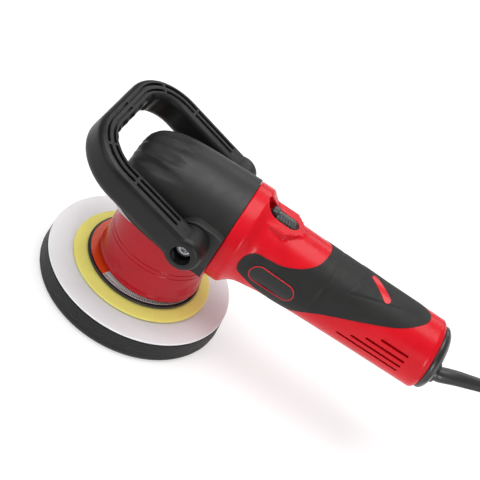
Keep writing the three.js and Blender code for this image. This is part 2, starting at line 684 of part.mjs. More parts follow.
function makeNose() {
  const neck = NOSE_TOP_RADIUS - NOSE_NECK_INSET;
  const outside = noseBody([
    [0, NOSE_BOTTOM],
    [NOSE_RADIUS, NOSE_BOTTOM],
    [NOSE_RADIUS, NOSE_BOTTOM + 3],
    [NOSE_WAIST_RADIUS + 0.4, NOSE_BOTTOM + 8],
    [NOSE_WAIST_RADIUS, NOSE_BOTTOM + 16],
    [NOSE_TOP_RADIUS, NOSE_SHOULDER],
    [neck, NOSE_SHOULDER],
    [neck, NOSE_TOP],
    [0, NOSE_TOP],
  ]);
  const skirt = noseBody([
    [0, NOSE_BOTTOM - 1],
    [NOSE_WAIST_RADIUS - NOSE_WALL, NOSE_BOTTOM - 1],
    [NOSE_TOP_RADIUS - NOSE_WALL, NOSE_DECK_BOTTOM - 4],
    [NOSE_TOP_RADIUS - NOSE_WALL - 5, NOSE_DECK_BOTTOM],
    [0, NOSE_DECK_BOTTOM],
  ]);
  const well = noseBody([
    [LOWER_BEARING_RADIUS + NOSE_WALL + 1, NOSE_DECK_TOP],
    [neck - NOSE_WALL, NOSE_DECK_TOP],
    [neck - NOSE_WALL, NOSE_TOP + 1],
    [LOWER_BEARING_RADIUS + NOSE_WALL + 1, NOSE_TOP + 1],
    [LOWER_BEARING_RADIUS + NOSE_WALL + 1, NOSE_DECK_TOP],
  ]);
  const seat = rod(LOWER_BEARING_RADIUS + SEAT_GAP, NOSE_DECK_TOP, NOSE_TOP + 1, 'z', CENTRE, MEDIUM);
  const bore = rod(SPINDLE_RADIUS + RUN_GAP, NOSE_DECK_BOTTOM - 1, NOSE_TOP, 'z', CENTRE, SMALL);
  piece('nose_casting', 'redGloss', cut(outside, skirt, well, seat, bore));
  piece('spindle_bearing_lower', 'steel', ring(LOWER_BEARING_RADIUS, SPINDLE_RADIUS + SEAT_GAP,
    LOWER_BEARING_BOTTOM, LOWER_BEARING_TOP, 'z', CENTRE, MEDIUM));
  piece('bearing_plate', 'aluminium', ring(BEARING_PLATE_RADIUS, SPINDLE_RADIUS + RUN_GAP,
    BEARING_PLATE_BOTTOM, BEARING_PLATE_TOP, 'z', CENTRE, MEDIUM));
}

// ---- head cover and gear housing ----

// Half width of the head at the motor axis, and its lower edge, from the nose end to the flange.
const HEAD = [
  [COVER_FRONT, COVER_RADIUS - 21, COVER_BOTTOM + 17],
  [COVER_FRONT + 2, COVER_RADIUS - 15.5, COVER_BOTTOM + 10],
  [COVER_FRONT + 7, COVER_RADIUS - 10, COVER_BOTTOM + 2],
  [COVER_FRONT + 14, COVER_RADIUS - 6.5, COVER_BOTTOM],
  [COVER_FRONT + 24, COVER_RADIUS - 3.5, COVER_BOTTOM],
  [COVER_FRONT + 37, COVER_RADIUS - 1.6, COVER_BOTTOM],
  [0, COVER_RADIUS - 0.8, COVER_BOTTOM],
  [COVER_REAR, COVER_RADIUS, COVER_BOTTOM],
];
const ARCH_STEPS = 12;
const ARCH_SPREAD = 105 * RADIANS;
const FOOT_NARROWING = 0.945;

function headSolid(inset, bottomLift, front, rear) {
  const rings = HEAD.map(([x, radius, bottom], k) => {
    const last = HEAD.length - 1;
    const place = k === 0 ? x + front : x + (k === last ? rear : front * (1 - k / last));
    const r = radius - inset;
    const arch = Array.from({ length: ARCH_STEPS + 1 }, (_, i) => {
      const angle = (2 * i / ARCH_STEPS - 1) * ARCH_SPREAD;
      return new THREE.Vector3(place, r * Math.sin(angle), MOTOR_Z + r * Math.cos(angle));
    });
    const foot = r * FOOT_NARROWING;
    const floor = Math.min(bottom + bottomLift, MOTOR_Z - r * 0.4);
    return [...arch, new THREE.Vector3(place, foot, floor), new THREE.Vector3(place, -foot, floor)];
  });
  return skinned(rings);
}

// A rounded pad beside the handle's foot, from the foot's front round to the flange.
function footPad(grow) {
  const shape = new THREE.Shape();
  const r = FOOT_RADIUS + grow;
  shape.moveTo(COVER_REAR, HANDLE_FOOT_Z - r);
  shape.lineTo(COVER_REAR, HANDLE_FOOT_Z + r - 1);
  shape.lineTo(HANDLE_FOOT_X, HANDLE_FOOT_Z + r);
  shape.absarc(HANDLE_FOOT_X, HANDLE_FOOT_Z, r, Math.PI / 2, 3 * Math.PI / 2, false);
  return shape;
}

function handleScrewHole(radius, reach) {
  return rod(radius, -reach, reach, 'y', [HANDLE_FOOT_X, 0, HANDLE_FOOT_Z], SMALL);
}

function makeHead() {
  const pads = [[-FOOT_PAD_Y, -COVER_RADIUS + 8], [COVER_RADIUS - 8, FOOT_PAD_Y]].map(
    ([y0, y1]) => slabAlongY(footPad(1.5), y0, y1, 8),
  );
  const outside = joined(headSolid(0, 0, 0, 0), ...pads);
  const hollow = headSolid(COVER_WALL, -COVER_WALL - 6, COVER_WALL, 1);
  piece('head_cover', 'rubber', cut(outside, hollow, handleScrewHole(SCREW_RADIUS + SEAT_GAP, FOOT_PAD_Y + 1)));

  const skin = COVER_WALL + SEAT_GAP;
  const lift = BEARING_PLATE_TOP + SEAT_GAP - COVER_BOTTOM;
  const casting = headSolid(skin, lift, skin, 0);
  const cavity = headSolid(skin + GEARBOX_WALL, lift - 6, skin + GEARBOX_WALL, -GEARBOX_REAR_WALL);
  const boss = rod(UPPER_BEARING_RADIUS + 3, UPPER_BEARING_BOTTOM, MOTOR_Z + COVER_RADIUS - skin - 3,
    'z', CENTRE, MEDIUM);
  const screwBosses = [-1, 1].map((way) => {
    const near = COVER_RADIUS - skin - SCREW_BOSS_LENGTH;
    const ends = [way * near, way * (near + SCREW_BOSS_LENGTH - SCREW_BOSS_SINK)].sort((a, b) => a - b);
    return rod(SCREW_RADIUS + SCREW_BOSS_WALL, ...ends, 'y', [HANDLE_FOOT_X, 0, HANDLE_FOOT_Z], SMALL);
  });
  const upperSeat = rod(UPPER_BEARING_RADIUS + SEAT_GAP, UPPER_BEARING_BOTTOM - 2, SPINDLE_TOP + 2,
    'z', CENTRE, MEDIUM);
  const shaftBore = rod(FRONT_BEARING_RADIUS + SEAT_GAP, FRONT_BEARING_X - SEAT_GAP, COVER_REAR + 1, 'x', MOTOR, MEDIUM);
  const wallBore = rod(PINION_OUTER_RADIUS + TOOTH_TIP + RUN_GAP, 0, COVER_REAR, 'x', MOTOR, MEDIUM);
  piece('gear_housing', 'aluminium', cut(
    joined(cut(casting, cavity), boss, ...screwBosses),
    upperSeat, shaftBore, wallBore, handleScrewHole(SCREW_RADIUS + SEAT_GAP, COVER_RADIUS),
  ));
  piece('spindle_bearing_upper', 'steel', ring(UPPER_BEARING_RADIUS, SPINDLE_NECK_RADIUS + SEAT_GAP,
    UPPER_BEARING_BOTTOM, UPPER_BEARING_BOTTOM + UPPER_BEARING_HEIGHT, 'z', CENTRE, MEDIUM));
}

// ---- body shells, grip boot and tail cap ----

// Radius along the body, from the flange to the tail.
const BODY = [
  [FLANGE_FRONT, FLANGE_RADIUS],
  [FLANGE_REAR, FLANGE_RADIUS],
  [FLANGE_REAR + 2.5, FLANGE_RADIUS - 1.6],
  [NECK_X, NECK_RADIUS],
  [NECK_X + 5, NECK_RADIUS - 1.9],
  [(NECK_X + BODY_FRONT_X) / 2, (NECK_RADIUS + BODY_FRONT_RADIUS) / 2 - 0.8],
  [BODY_FRONT_X, BODY_FRONT_RADIUS],
  [BODY_MIDDLE_X, BODY_RADIUS],
  [TAIL_X - 30, TAIL_RADIUS + 0.2],
  [TAIL_X - TAIL_CHAMFER, TAIL_RADIUS],
  [TAIL_X, TAIL_RADIUS - TAIL_CHAMFER],
];
const BODY_SIDES = 24;
const BODY_LENGTH = TAIL_X - FLANGE_FRONT;
const axisHeight = (x) => MOTOR_Z + TAIL_RISE * (x - FLANGE_FRONT) / BODY_LENGTH;
const slantAt = (x) => TAIL_SLANT * Math.max(0, (x - TAIL_X + 30) / 30);

function bodyRing(x, radius) {
  return Array.from({ length: BODY_SIDES }, (_, i) => {
    const angle = 2 * Math.PI * i / BODY_SIDES;
    const up = radius * Math.cos(angle);
    return new THREE.Vector3(x - slantAt(x) * up, radius * Math.sin(angle), axisHeight(x) + up);
  });
}

const bodySolid = (inset) => skinned(BODY.map(([x, radius]) => bodyRing(x, radius - inset)));

// The hollow runs on past the tail end, so the shells stay open where the cap closes them.
function bodyHollow() {
  const stations = BODY.filter(([x]) => x >= FLANGE_REAR);
  const rings = stations.map(([x, radius]) => bodyRing(x, Math.min(radius, NECK_RADIUS) - SHELL_WALL));
  rings.push(bodyRing(TAIL_X + 1, TAIL_RADIUS - TAIL_CHAMFER - SHELL_WALL));
  rings[0] = bodyRing(FLANGE_FRONT + FLANGE_FACE_DEPTH, NECK_RADIUS - SHELL_WALL);
  return skinned(rings);
}

// The boot's outline from the side: two lobes by the badge, joined over the top of the grip.
const BOOT_UPPER_EDGE = [
  [60.5, 112], [62, 120.5], [68, 125.2], [78, 125.6], [89, 126], [100, 129.5], [108, 133.6],
  [114, 138], [117.5, 143],
];
const BOOT_LOWER_EDGE = [
  [212, 141.5], [205, 138.8], [190, 132.2], [171, 125.2], [152, 117.6], [134, 108.5], [121, 98],
  [112, 90], [101, 87.5], [88, 91], [73, 98.5], [63, 105], [60.5, 112],
];
const BOOT_CROWN = 152;

function bootOutline(grow) {
  const edge = (places) => places.map(([x, z]) => new THREE.Vector2(x, z));
  const upper = new THREE.SplineCurve(edge(BOOT_UPPER_EDGE)).getPoints(9);
  const lower = new THREE.SplineCurve(edge(BOOT_LOWER_EDGE)).getPoints(14);
  const crown = edge([[BOOT_UPPER_EDGE.at(-1)[0], BOOT_CROWN], [BOOT_LOWER_EDGE[0][0], BOOT_CROWN]]);
  const loop = [...upper, ...crown, ...lower.slice(0, -1)];
  return new THREE.Shape(loop.map((p, i) => {
    const before = loop[(i + loop.length - 1) % loop.length];
    const after = loop[(i + 1) % loop.length];
    const along = after.clone().sub(before).normalize();
    return new THREE.Vector2(p.x - along.y * grow, p.y + along.x * grow);
  }));
}

function stadium(length, width) {
  const shape = new THREE.Shape();
  const reach = (length - width) / 2;
  shape.absarc(reach, 0, width / 2, -Math.PI / 2, Math.PI / 2, false);
  shape.absarc(-reach, 0, width / 2, Math.PI / 2, 3 * Math.PI / 2, false);
  return shape;
}

function badgePrism(grow) {
  const shape = stadium(BADGE_LENGTH + 2 * grow, BADGE_HEIGHT + 2 * grow);
  const depth = FLANGE_RADIUS;
  const geometry = new THREE.ExtrudeGeometry(shape, { depth, bevelEnabled: false, curveSegments: 8 });
  geometry.rotateX(Math.PI / 2).rotateY(BADGE_TILT).translate(BADGE_X, 0, axisHeight(BADGE_X) - 1);
  return solid(geometry);
}

function inlayPrism(grow) {
  const shape = stadium(INLAY_LENGTH + 2 * grow, INLAY_WIDTH + 2 * grow);
  const geometry = new THREE.ExtrudeGeometry(shape, { depth: FLANGE_RADIUS, bevelEnabled: false, curveSegments: 6 });
  return solid(geometry.rotateZ(INLAY_TURN).translate(INLAY_X, INLAY_Y, axisHeight(INLAY_X)));
}

function makeBoot(outside) {
  const skin = cut(outside, bodySolid(GRIP_DEPTH));
  const boot = skin.intersect(slabAlongY(bootOutline(0), -FLANGE_RADIUS, FLANGE_RADIUS));
  const proud = bodySolid(-PROUD);
  const pocketFloor = BADGE_THICKNESS + SEAT_GAP;
  const pocket = cut(bodySolid(-1), bodySolid(pocketFloor));
  piece('grip_boot', 'rubber', cut(boot, pocket.intersect(joined(badgePrism(SEAT_GAP), inlayPrism(SEAT_GAP)))));
  const plate = cut(proud, bodySolid(BADGE_THICKNESS));
  piece('badge_plate', 'black', plate.intersect(badgePrism(0)));
  piece('palm_inlay', 'red', plate.intersect(inlayPrism(0)));
}

function shellScrewPieces(outside) {
  const bosses = SHELL_SCREWS.map(([x, up]) => rod(SHELL_BOSS_RADIUS, -SHELL_BOSS_REACH, SHELL_BOSS_REACH,
    'y', [x, 0, axisHeight(x) + up]).intersect(outside));
  const holes = SHELL_SCREWS.flatMap(([x, up]) => {
    const at = [x, 0, axisHeight(x) + up];
    return [
      rod(SHELL_SCREW_RADIUS + SEAT_GAP, -SHELL_SCREW_REACH - 1, SHELL_HEAD_Y, 'y', at, SMALL),
      rod(SHELL_HEAD_RADIUS + SEAT_GAP, SHELL_HEAD_Y - SEAT_GAP, FLANGE_RADIUS, 'y', at, SMALL),
    ];
  });
  return [bosses, holes];
}

function makeShells() {
  const outside = bodySolid(0);
  const plateau = block([FLANGE_REAR - 2, PLATEAU_REAR], [-PLATEAU_HALF_WIDTH, PLATEAU_HALF_WIDTH],
    [MOTOR_Z + PLATEAU_HEIGHT - 9, MOTOR_Z + PLATEAU_HEIGHT]);
  const underTrack = block([FLANGE_REAR - 2, TRACK_REAR + 4], [-TRACK_HALF_WIDTH - 3, TRACK_HALF_WIDTH + 3],
    [MOTOR_Z + TRACK_BASE, MOTOR_Z + BODY_FRONT_RADIUS - 1]);
  const bulkhead = ring(BODY_RADIUS - 1.5, REAR_BEARING_RADIUS + SEAT_GAP, REAR_BEARING_X,
    REAR_BEARING_X + REAR_BEARING_WIDTH + SEAT_GAP, 'x', MOTOR, MEDIUM);
  const [bosses, screwHoles] = shellScrewPieces(outside);
  const frontBore = rod(FLANGE_BORE, FLANGE_FRONT - 1, FLANGE_FRONT + FLANGE_FACE_DEPTH + 1, 'x', MOTOR, MEDIUM);
  const track = new THREE.ExtrudeGeometry(stadium(TRACK_REAR - TRACK_FRONT, 2 * TRACK_HALF_WIDTH),
    { depth: 20, bevelEnabled: false, curveSegments: 8 });
  track.translate((TRACK_FRONT + TRACK_REAR) / 2, 0, MOTOR_Z + TRACK_FLOOR);
  const stemSlot = block([STEM_X - SWITCH_TRAVEL - RUN_GAP, STEM_X + STEM_LENGTH + RUN_GAP],
    [-STEM_WIDTH / 2 - RUN_GAP, STEM_WIDTH / 2 + RUN_GAP], [MOTOR_Z + TRACK_BASE - 2, MOTOR_Z + TRACK_FLOOR + 1]);
  const rodSlot = block([STEM_X - SWITCH_TRAVEL - RUN_GAP, SWITCH_X],
    [-ROD_WIDTH / 2 - RUN_GAP, ROD_WIDTH / 2 + RUN_GAP],
    [MOTOR_Z + ROD_BOTTOM - RUN_GAP, MOTOR_Z + ROD_BOTTOM + ROD_THICKNESS + RUN_GAP]);
  const bootPocket = cut(bodySolid(-1), bodySolid(GRIP_DEPTH + SEAT_GAP))
    .intersect(slabAlongY(bootOutline(SEAT_GAP), -FLANGE_RADIUS, FLANGE_RADIUS));
  const dialSlot = block([DIAL_X - DIAL_RADIUS + 1, DIAL_X + DIAL_RADIUS - 1], [DIAL_Y, FLANGE_RADIUS],
    [DIAL_Z - DIAL_THICKNESS / 2 - RUN_GAP, DIAL_Z + DIAL_THICKNESS / 2 + RUN_GAP]);
  const vents = [[-FLANGE_RADIUS, -TAIL_RADIUS / 2, VENT_REAR], [TAIL_RADIUS / 2, FLANGE_RADIUS, VENT_REAR_RIGHT]]
    .flatMap(([y0, y1, rear]) => Array.from({ length: VENT_COUNT }, (_, k) => {
      const z = VENT_TOP_Z - k * VENT_PITCH;
      return block([VENT_FIRST_X - k * VENT_STAGGER, rear], [y0, y1], [z - VENT_WIDTH / 2, z + VENT_WIDTH / 2]);
    }));
  const shell = cut(
    joined(cut(joined(outside, plateau), bodyHollow()), underTrack, bulkhead, ...bosses),
    frontBore, solid(track), stemSlot, rodSlot, bootPocket, dialSlot, ...vents, ...screwHoles,
  );
  const tall = [MOTOR_Z - 2 * FLANGE_RADIUS, MOTOR_Z + 2 * FLANGE_RADIUS];
  const long = [FLANGE_FRONT - 10, TAIL_X + 20];
  piece('shell_left', 'red', shell.intersect(block(long, [-2 * FLANGE_RADIUS, -SEAM_GAP / 2], tall)));
  piece('shell_right', 'red', shell.intersect(block(long, [SEAM_GAP / 2, 2 * FLANGE_RADIUS], tall)));
  makeBoot(outside);
  SHELL_SCREWS.forEach(([x, up], k) => {
    const head = SHELL_HEAD_Y + SHELL_HEAD_HEIGHT;
    piece(`shell_screw_${k + 1}`, 'blackSteel', turned([
      [0, -SHELL_SCREW_REACH],
      [SHELL_SCREW_RADIUS, -SHELL_SCREW_REACH],
      [SHELL_SCREW_RADIUS, SHELL_HEAD_Y],
      [SHELL_HEAD_RADIUS, SHELL_HEAD_Y],
      [SHELL_HEAD_RADIUS, head],
      [0, head],
    ], 'y', [x, 0, axisHeight(x) + up], SMALL));
  });
}

function makeTailCap() {
  const edge = TAIL_RADIUS - TAIL_CHAMFER;
  const dome = [
    [CAP_FRONT, edge],
    [CAP_FRONT + CAP_LENGTH * 0.35, edge - 1.2],
    [CAP_FRONT + CAP_LENGTH * 0.7, edge - 5.5],
    [CAP_FRONT + CAP_LENGTH * 0.92, edge - 12],
    [CAP_FRONT + CAP_LENGTH, edge - 19],
  ];
  const cap = skinned(dome.map(([x, radius]) => bodyRing(x, radius)));
  const bore = rod(RELIEF_ROOT_RADIUS + SEAT_GAP, CAP_FRONT - 2, CAP_FRONT + CAP_LENGTH + 4, 'x', RELIEF_AXIS, SMALL);
  piece('tail_cap', 'black', cut(cap, bore));
}

// ---- switch and speed control ----

function makeSwitch() {
  const knobRear = KNOB_FRONT + KNOB_LENGTH;
  const halfWidth = TRACK_HALF_WIDTH - RUN_GAP;
  const bottom = MOTOR_Z + TRACK_FLOOR + SEAT_GAP;
  const slab = new THREE.ExtrudeGeometry(stadium(KNOB_LENGTH, 2 * halfWidth),
    { depth: KNOB_HEIGHT, bevelEnabled: false, curveSegments: 8 });
  slab.translate((KNOB_FRONT + knobRear) / 2, 0, bottom);
  const lug = block([KNOB_FRONT + 1, KNOB_FRONT + 1 + LUG_LENGTH], [-LUG_HALF_WIDTH, LUG_HALF_WIDTH],
    [bottom + KNOB_HEIGHT - 1, bottom + KNOB_HEIGHT + LUG_HEIGHT]);
  const rodTop = MOTOR_Z + ROD_BOTTOM + ROD_THICKNESS;
  const stem = block([STEM_X, STEM_X + STEM_LENGTH], [-STEM_WIDTH / 2, STEM_WIDTH / 2],
    [rodTop + SEAT_GAP, bottom + 1]);
  piece('switch_knob', 'black', joined(solid(slab), lug, stem));
  piece('switch_rod', 'nylon', block([STEM_X, SWITCH_X - SEAT_GAP], [-ROD_WIDTH / 2, ROD_WIDTH / 2],
    [MOTOR_Z + ROD_BOTTOM, rodTop]));
  piece('switch_body', 'black', block([SWITCH_X + SEAT_GAP, SWITCH_X + SWITCH_LENGTH], [-6.5, 6.5],
    [MOTOR_Z + 8, MOTOR_Z + 22.5]));
}

function makeSpeedControl() {
  piece('speed_module', 'board', block([MODULE_X, MODULE_X + MODULE_LENGTH], [-12, 12],
    [MOTOR_Z - 22.5, MOTOR_Z - 11]));
  const half = DIAL_THICKNESS / 2;
  piece('speed_dial', 'black', turned([
    [0, -half - 3],
    [DIAL_AXLE_RADIUS, -half - 3],
    [DIAL_AXLE_RADIUS, -half],
    [DIAL_RADIUS, -half],
    [DIAL_RADIUS, half],
    [DIAL_AXLE_RADIUS, half],
    [DIAL_AXLE_RADIUS, half + 3],
    [0, half + 3],
  ], 'z', [DIAL_X, DIAL_Y, DIAL_Z], MEDIUM));
}

// ---- front handle ----

function roundedSection(width, depth, corner) {
  const shape = new THREE.Shape();
  const [w, d] = [width / 2 - corner, depth / 2 - corner];
  shape.absarc(w, d, corner, 0, Math.PI / 2, false);
  shape.absarc(-w, d, corner, Math.PI / 2, Math.PI, false);
  shape.absarc(-w, -d, corner, Math.PI, 3 * Math.PI / 2, false);
  shape.absarc(w, -d, corner, 3 * Math.PI / 2, 2 * Math.PI, false);
  return shape.getPoints(2).slice(0, -1);
}

// The bail's centre line in its own plane: [reach from the feet, side, share of the way round a corner].
function bailLine() {
  const straight = HANDLE_REACH - HANDLE_CORNER;
  const side = HANDLE_HALF_SPAN - HANDLE_CORNER;
  const line = [[0, -HANDLE_HALF_SPAN, 0], [straight / 2, -HANDLE_HALF_SPAN, 0]];
  const turns = 7;
  for (let i = 0; i <= turns; i += 1) {
    const angle = i / turns * Math.PI / 2;
    line.push([straight + HANDLE_CORNER * Math.sin(angle), -side - HANDLE_CORNER * Math.cos(angle), i / turns]);
  }
  const back = line.map(([reach, across, turn]) => [reach, -across, turn]).reverse();
  return [...line, ...back];
}

function makeHandle() {
  const tilt = HANDLE_TILT * RADIANS;
  const reachWay = new THREE.Vector3(-Math.cos(tilt), 0, Math.sin(tilt));
  const acrossWay = new THREE.Vector3(0, 1, 0);
  const upWay = new THREE.Vector3(Math.sin(tilt), 0, Math.cos(tilt));
  const foot = new THREE.Vector3(HANDLE_FOOT_X, 0, HANDLE_FOOT_Z);
  const rings = bailLine().map(([reach, across, turn]) => {
    const angle = turn * Math.PI / 2;
    const way = across < 0 ? -1 : 1;
    const centre = foot.clone().addScaledVector(reachWay, reach).addScaledVector(acrossWay, across);
    const side = acrossWay.clone().multiplyScalar(Math.cos(angle))
      .addScaledVector(reachWay, Math.sin(angle) * way).multiplyScalar(way);
    const width = HANDLE_LEG_WIDTH + (HANDLE_BAR_WIDTH - HANDLE_LEG_WIDTH) * turn;
    return roundedSection(width, HANDLE_BAR_DEPTH, HANDLE_EDGE).map(
      (p) => centre.clone().addScaledVector(side, p.x * -1).addScaledVector(upWay, p.y),
    );
  });
  const feet = [[-FOOT_OUTER_Y, -FOOT_INNER_Y], [FOOT_INNER_Y, FOOT_OUTER_Y]].map(
    ([y0, y1]) => rod(FOOT_RADIUS, y0, y1, 'y', [HANDLE_FOOT_X, 0, HANDLE_FOOT_Z], MEDIUM),
  );
  const floorY = FOOT_OUTER_Y - COUNTERBORE_DEPTH;
  const counterbores = [[-FOOT_OUTER_Y - 1, -floorY], [floorY, FOOT_OUTER_Y + 1]].map(
    ([y0, y1]) => rod(COUNTERBORE_RADIUS, y0, y1, 'y', [HANDLE_FOOT_X, 0, HANDLE_FOOT_Z], MEDIUM),
  );
  piece('d_handle', 'rubber', cut(joined(skinned(rings), ...feet), ...counterbores,
    handleScrewHole(SCREW_RADIUS + SEAT_GAP, FOOT_OUTER_Y)));
  const seat = floorY + SEAT_GAP;
  const tip = COVER_RADIUS - COVER_WALL - SCREW_BOSS_LENGTH;
  [['left', -1], ['right', 1]].forEach(([name, way]) => {
    const profile = [
      [0, tip],
      [SCREW_RADIUS, tip],
      [SCREW_RADIUS, seat],
      [SCREW_HEAD_RADIUS, seat],
      [SCREW_HEAD_RADIUS, seat + SCREW_HEAD_HEIGHT],
      [SCREW_SOCKET_RADIUS, seat + SCREW_HEAD_HEIGHT],
      [SCREW_SOCKET_RADIUS, seat + 2],
      [0, seat + 2],
    ].map(([radius, along]) => [radius, way * along]);
    piece(`handle_screw_${name}`, 'steel', turned(profile, 'y', [HANDLE_FOOT_X, 0, HANDLE_FOOT_Z], SMALL));
  });
}

// ---- lead, coil and plug ----

const vectors = (places) => places.map((place) => new THREE.Vector3(...place));

// The relief leaves the cap straight, then gives towards the right-hand side.
const RELIEF_ROUTE = vectors([
  [TAIL_X - 15, -1, 101], [TAIL_X, -1, 101], [246, -0.8, 101.2], [252, 1.4, 102.2], [261.4, 5.7, 102.8],
  [271, 10.4, 102.5], [282.7, 17.3, 101], [294, 24.5, 98.2],
]);
const CORD_ROUTE = vectors([
  [294.8, 25, 98], [304.5, 31.2, 94.6], [313.5, 37.5, 87], [321, 43.5, 76], [328, 48, 63.5], [334, 51.5, 50],
  [340, 54.2, 36], [347, 56.2, 23], [356, 57.4, 13], [366, 57.6, 7.4], [374, 57.2, 5.6],
]);
const LEAD_ROUTE = vectors([
  [379, -60.4, 11], [372, -61.8, 9.8], [364, -63.2, 9.2], [PLUG_REAR + 2 * SEAT_GAP, -64, 9],
]);

function alongRoute(route, steps, radiusAt) {
  const curve = new THREE.CatmullRomCurve3(route, false, 'centripetal');
  const up = new THREE.Vector3(0, 0, 1);
  return skinned(Array.from({ length: steps + 1 }, (_, i) => {
    const share = i / steps;
    const centre = curve.getPointAt(share);
    const along = curve.getTangentAt(share);
    const side = new THREE.Vector3().crossVectors(up, along).normalize();
    const over = new THREE.Vector3().crossVectors(along, side);
    const radius = radiusAt(share);
    return Array.from({ length: RELIEF_SIDES }, (__, k) => {
      const angle = 2 * Math.PI * k / RELIEF_SIDES;
      return centre.clone().addScaledVector(side, radius * Math.cos(angle))
        .addScaledVector(over, radius * Math.sin(angle));
    });
  }));
}

function cordTube(route, steps) {
  const section = new THREE.Shape(Array.from({ length: CORD_SIDES }, (_, k) => {
    const angle = 2 * Math.PI * k / CORD_SIDES;
    return new THREE.Vector2(CORD_RADIUS * Math.cos(angle), CORD_RADIUS * Math.sin(angle));
  }));
  const extrudePath = new THREE.CatmullRomCurve3(route, false, 'centripetal');
  return solid(new THREE.ExtrudeGeometry(section, { steps, bevelEnabled: false, extrudePath }));
}

function makeLead() {
  const taper = (share) => RELIEF_ROOT_RADIUS
    + (RELIEF_TIP_RADIUS - RELIEF_ROOT_RADIUS) * Math.max(0, share - 0.3) / 0.7;
  piece('strain_relief', 'rubber', alongRoute(RELIEF_ROUTE, 14, taper));
  const clampZ = RELIEF_AXIS[2] + RELIEF_ROOT_RADIUS + SEAT_GAP;
  piece('cord_clamp', 'black', block([TAIL_X - 12, TAIL_X - 5], [-9, 7], [clampZ, clampZ + 3.5]));
  piece('power_cord', 'rubber', cordTube(CORD_ROUTE, 20));
  const outer = COIL_RADIUS + COIL_BAND / 2;
  const inner = COIL_RADIUS - COIL_BAND / 2;
  piece('cord_coil', 'rubber', ring(outer, inner, COIL_LIFT, COIL_LIFT + COIL_HEIGHT, 'z', COIL_CENTRE, FINE));
  const wrap = (grow, y) => block(
    [COIL_CENTRE[0] + inner - grow - 0.8, COIL_CENTRE[0] + outer + grow],
    [COIL_CENTRE[1] - y, COIL_CENTRE[1] + y],
    [COIL_LIFT - grow, COIL_LIFT + COIL_HEIGHT + grow],
  );
  const tieGap = 0.25;
  piece('cord_tie', 'black', cut(wrap(tieGap + TIE_THICKNESS, TIE_HALF_WIDTH), wrap(tieGap, TIE_HALF_WIDTH + 1)));
  piece('plug_lead', 'rubber', cordTube(LEAD_ROUTE, 6));
}

function makePlug() {
  const centre = LEAD_ROUTE.at(-1);
  const section = (x, width, height) => roundedSection(width, height, PLUG_EDGE).map(
    (p) => new THREE.Vector3(x, centre.y + p.x, centre.z + p.y),
  );
  const face = PLUG_REAR - PLUG_LENGTH;
  const bladeAt = (way, grow, from, to) => block(
    [from, to],
    [centre.y + way * BLADE_SPACING / 2 - BLADE_THICKNESS / 2 - grow,
      centre.y + way * BLADE_SPACING / 2 + BLADE_THICKNESS / 2 + grow],
    [centre.z - BLADE_WIDTH / 2 - grow, centre.z + BLADE_WIDTH / 2 + grow],
  );
  const slots = [-1, 1].map((way) => bladeAt(way, SEAT_GAP, face - 1, face + BLADE_ROOT + SEAT_GAP));
  piece('plug_body', 'rubber', cut(skinned([
    section(face, PLUG_WIDTH, PLUG_HEIGHT),
    section(face + PLUG_LENGTH * 0.45, PLUG_WIDTH, PLUG_HEIGHT),
    section(face + PLUG_LENGTH * 0.7, PLUG_WIDTH * 0.7, PLUG_HEIGHT * 0.85),
    section(PLUG_REAR, PLUG_WIDTH * 0.5, PLUG_HEIGHT * 0.66),
  ]), ...slots));
  [['line', -1], ['neutral', 1]].forEach(([name, way]) => {
    piece(`plug_blade_${name}`, 'brass', bladeAt(way, 0, face - BLADE_LENGTH, face + BLADE_ROOT));
  });
}

makePad();
makeBackingPlate();
makeHub();
makeSpindle();
makeRingGear();
makePinion();
makeArmature();
makeFan();
makeField();
makeMotorBearings();
makeBrushes();
makeNose();
makeHead();
makeShells();
makeTailCap();
makeSwitch();
makeSpeedControl();
makeHandle();
makeLead();
makePlug();

export default group;
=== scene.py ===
"""A dual action polisher: its visible pieces, finishes, floor, lights and camera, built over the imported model."""

import json
from math import atan2, ceil, cos, exp, hypot, pi, radians, sin, sqrt, tau

import bmesh
import bpy
import numpy
from bpy.props import FloatProperty, FloatVectorProperty, PointerProperty
from mathutils import Matrix, Vector, noise


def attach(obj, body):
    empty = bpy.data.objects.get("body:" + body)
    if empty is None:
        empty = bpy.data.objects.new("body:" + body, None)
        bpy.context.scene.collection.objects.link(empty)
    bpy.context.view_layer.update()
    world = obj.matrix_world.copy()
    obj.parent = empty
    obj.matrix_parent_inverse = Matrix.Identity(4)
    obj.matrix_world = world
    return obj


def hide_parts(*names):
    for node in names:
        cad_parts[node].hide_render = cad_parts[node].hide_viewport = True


bl_info = {
    "name": "Dual action polisher",
    "version": (1, 0, 0),
    "blender": (4, 5, 0),
    "location": "3D View > Sidebar > Polisher",
    "description": "Builds the polisher's shells, grips, handle, pad, lead and finishes",
    "category": "Object",
}

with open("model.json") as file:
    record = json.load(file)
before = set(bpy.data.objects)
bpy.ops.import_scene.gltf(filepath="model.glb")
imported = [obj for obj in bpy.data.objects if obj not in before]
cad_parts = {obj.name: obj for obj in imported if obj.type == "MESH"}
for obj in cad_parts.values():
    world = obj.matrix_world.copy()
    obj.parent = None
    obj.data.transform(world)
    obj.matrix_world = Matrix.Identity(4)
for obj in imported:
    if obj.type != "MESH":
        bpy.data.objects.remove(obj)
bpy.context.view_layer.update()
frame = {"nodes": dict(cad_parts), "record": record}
MM = 0.001

# Places and sizes below are in millimetres, in the model's own frame.
MOTOR_Z = 110.5
PAD_X = -4.0
CORD_DIAMETER = 0.008


# ---- curves and outlines ----


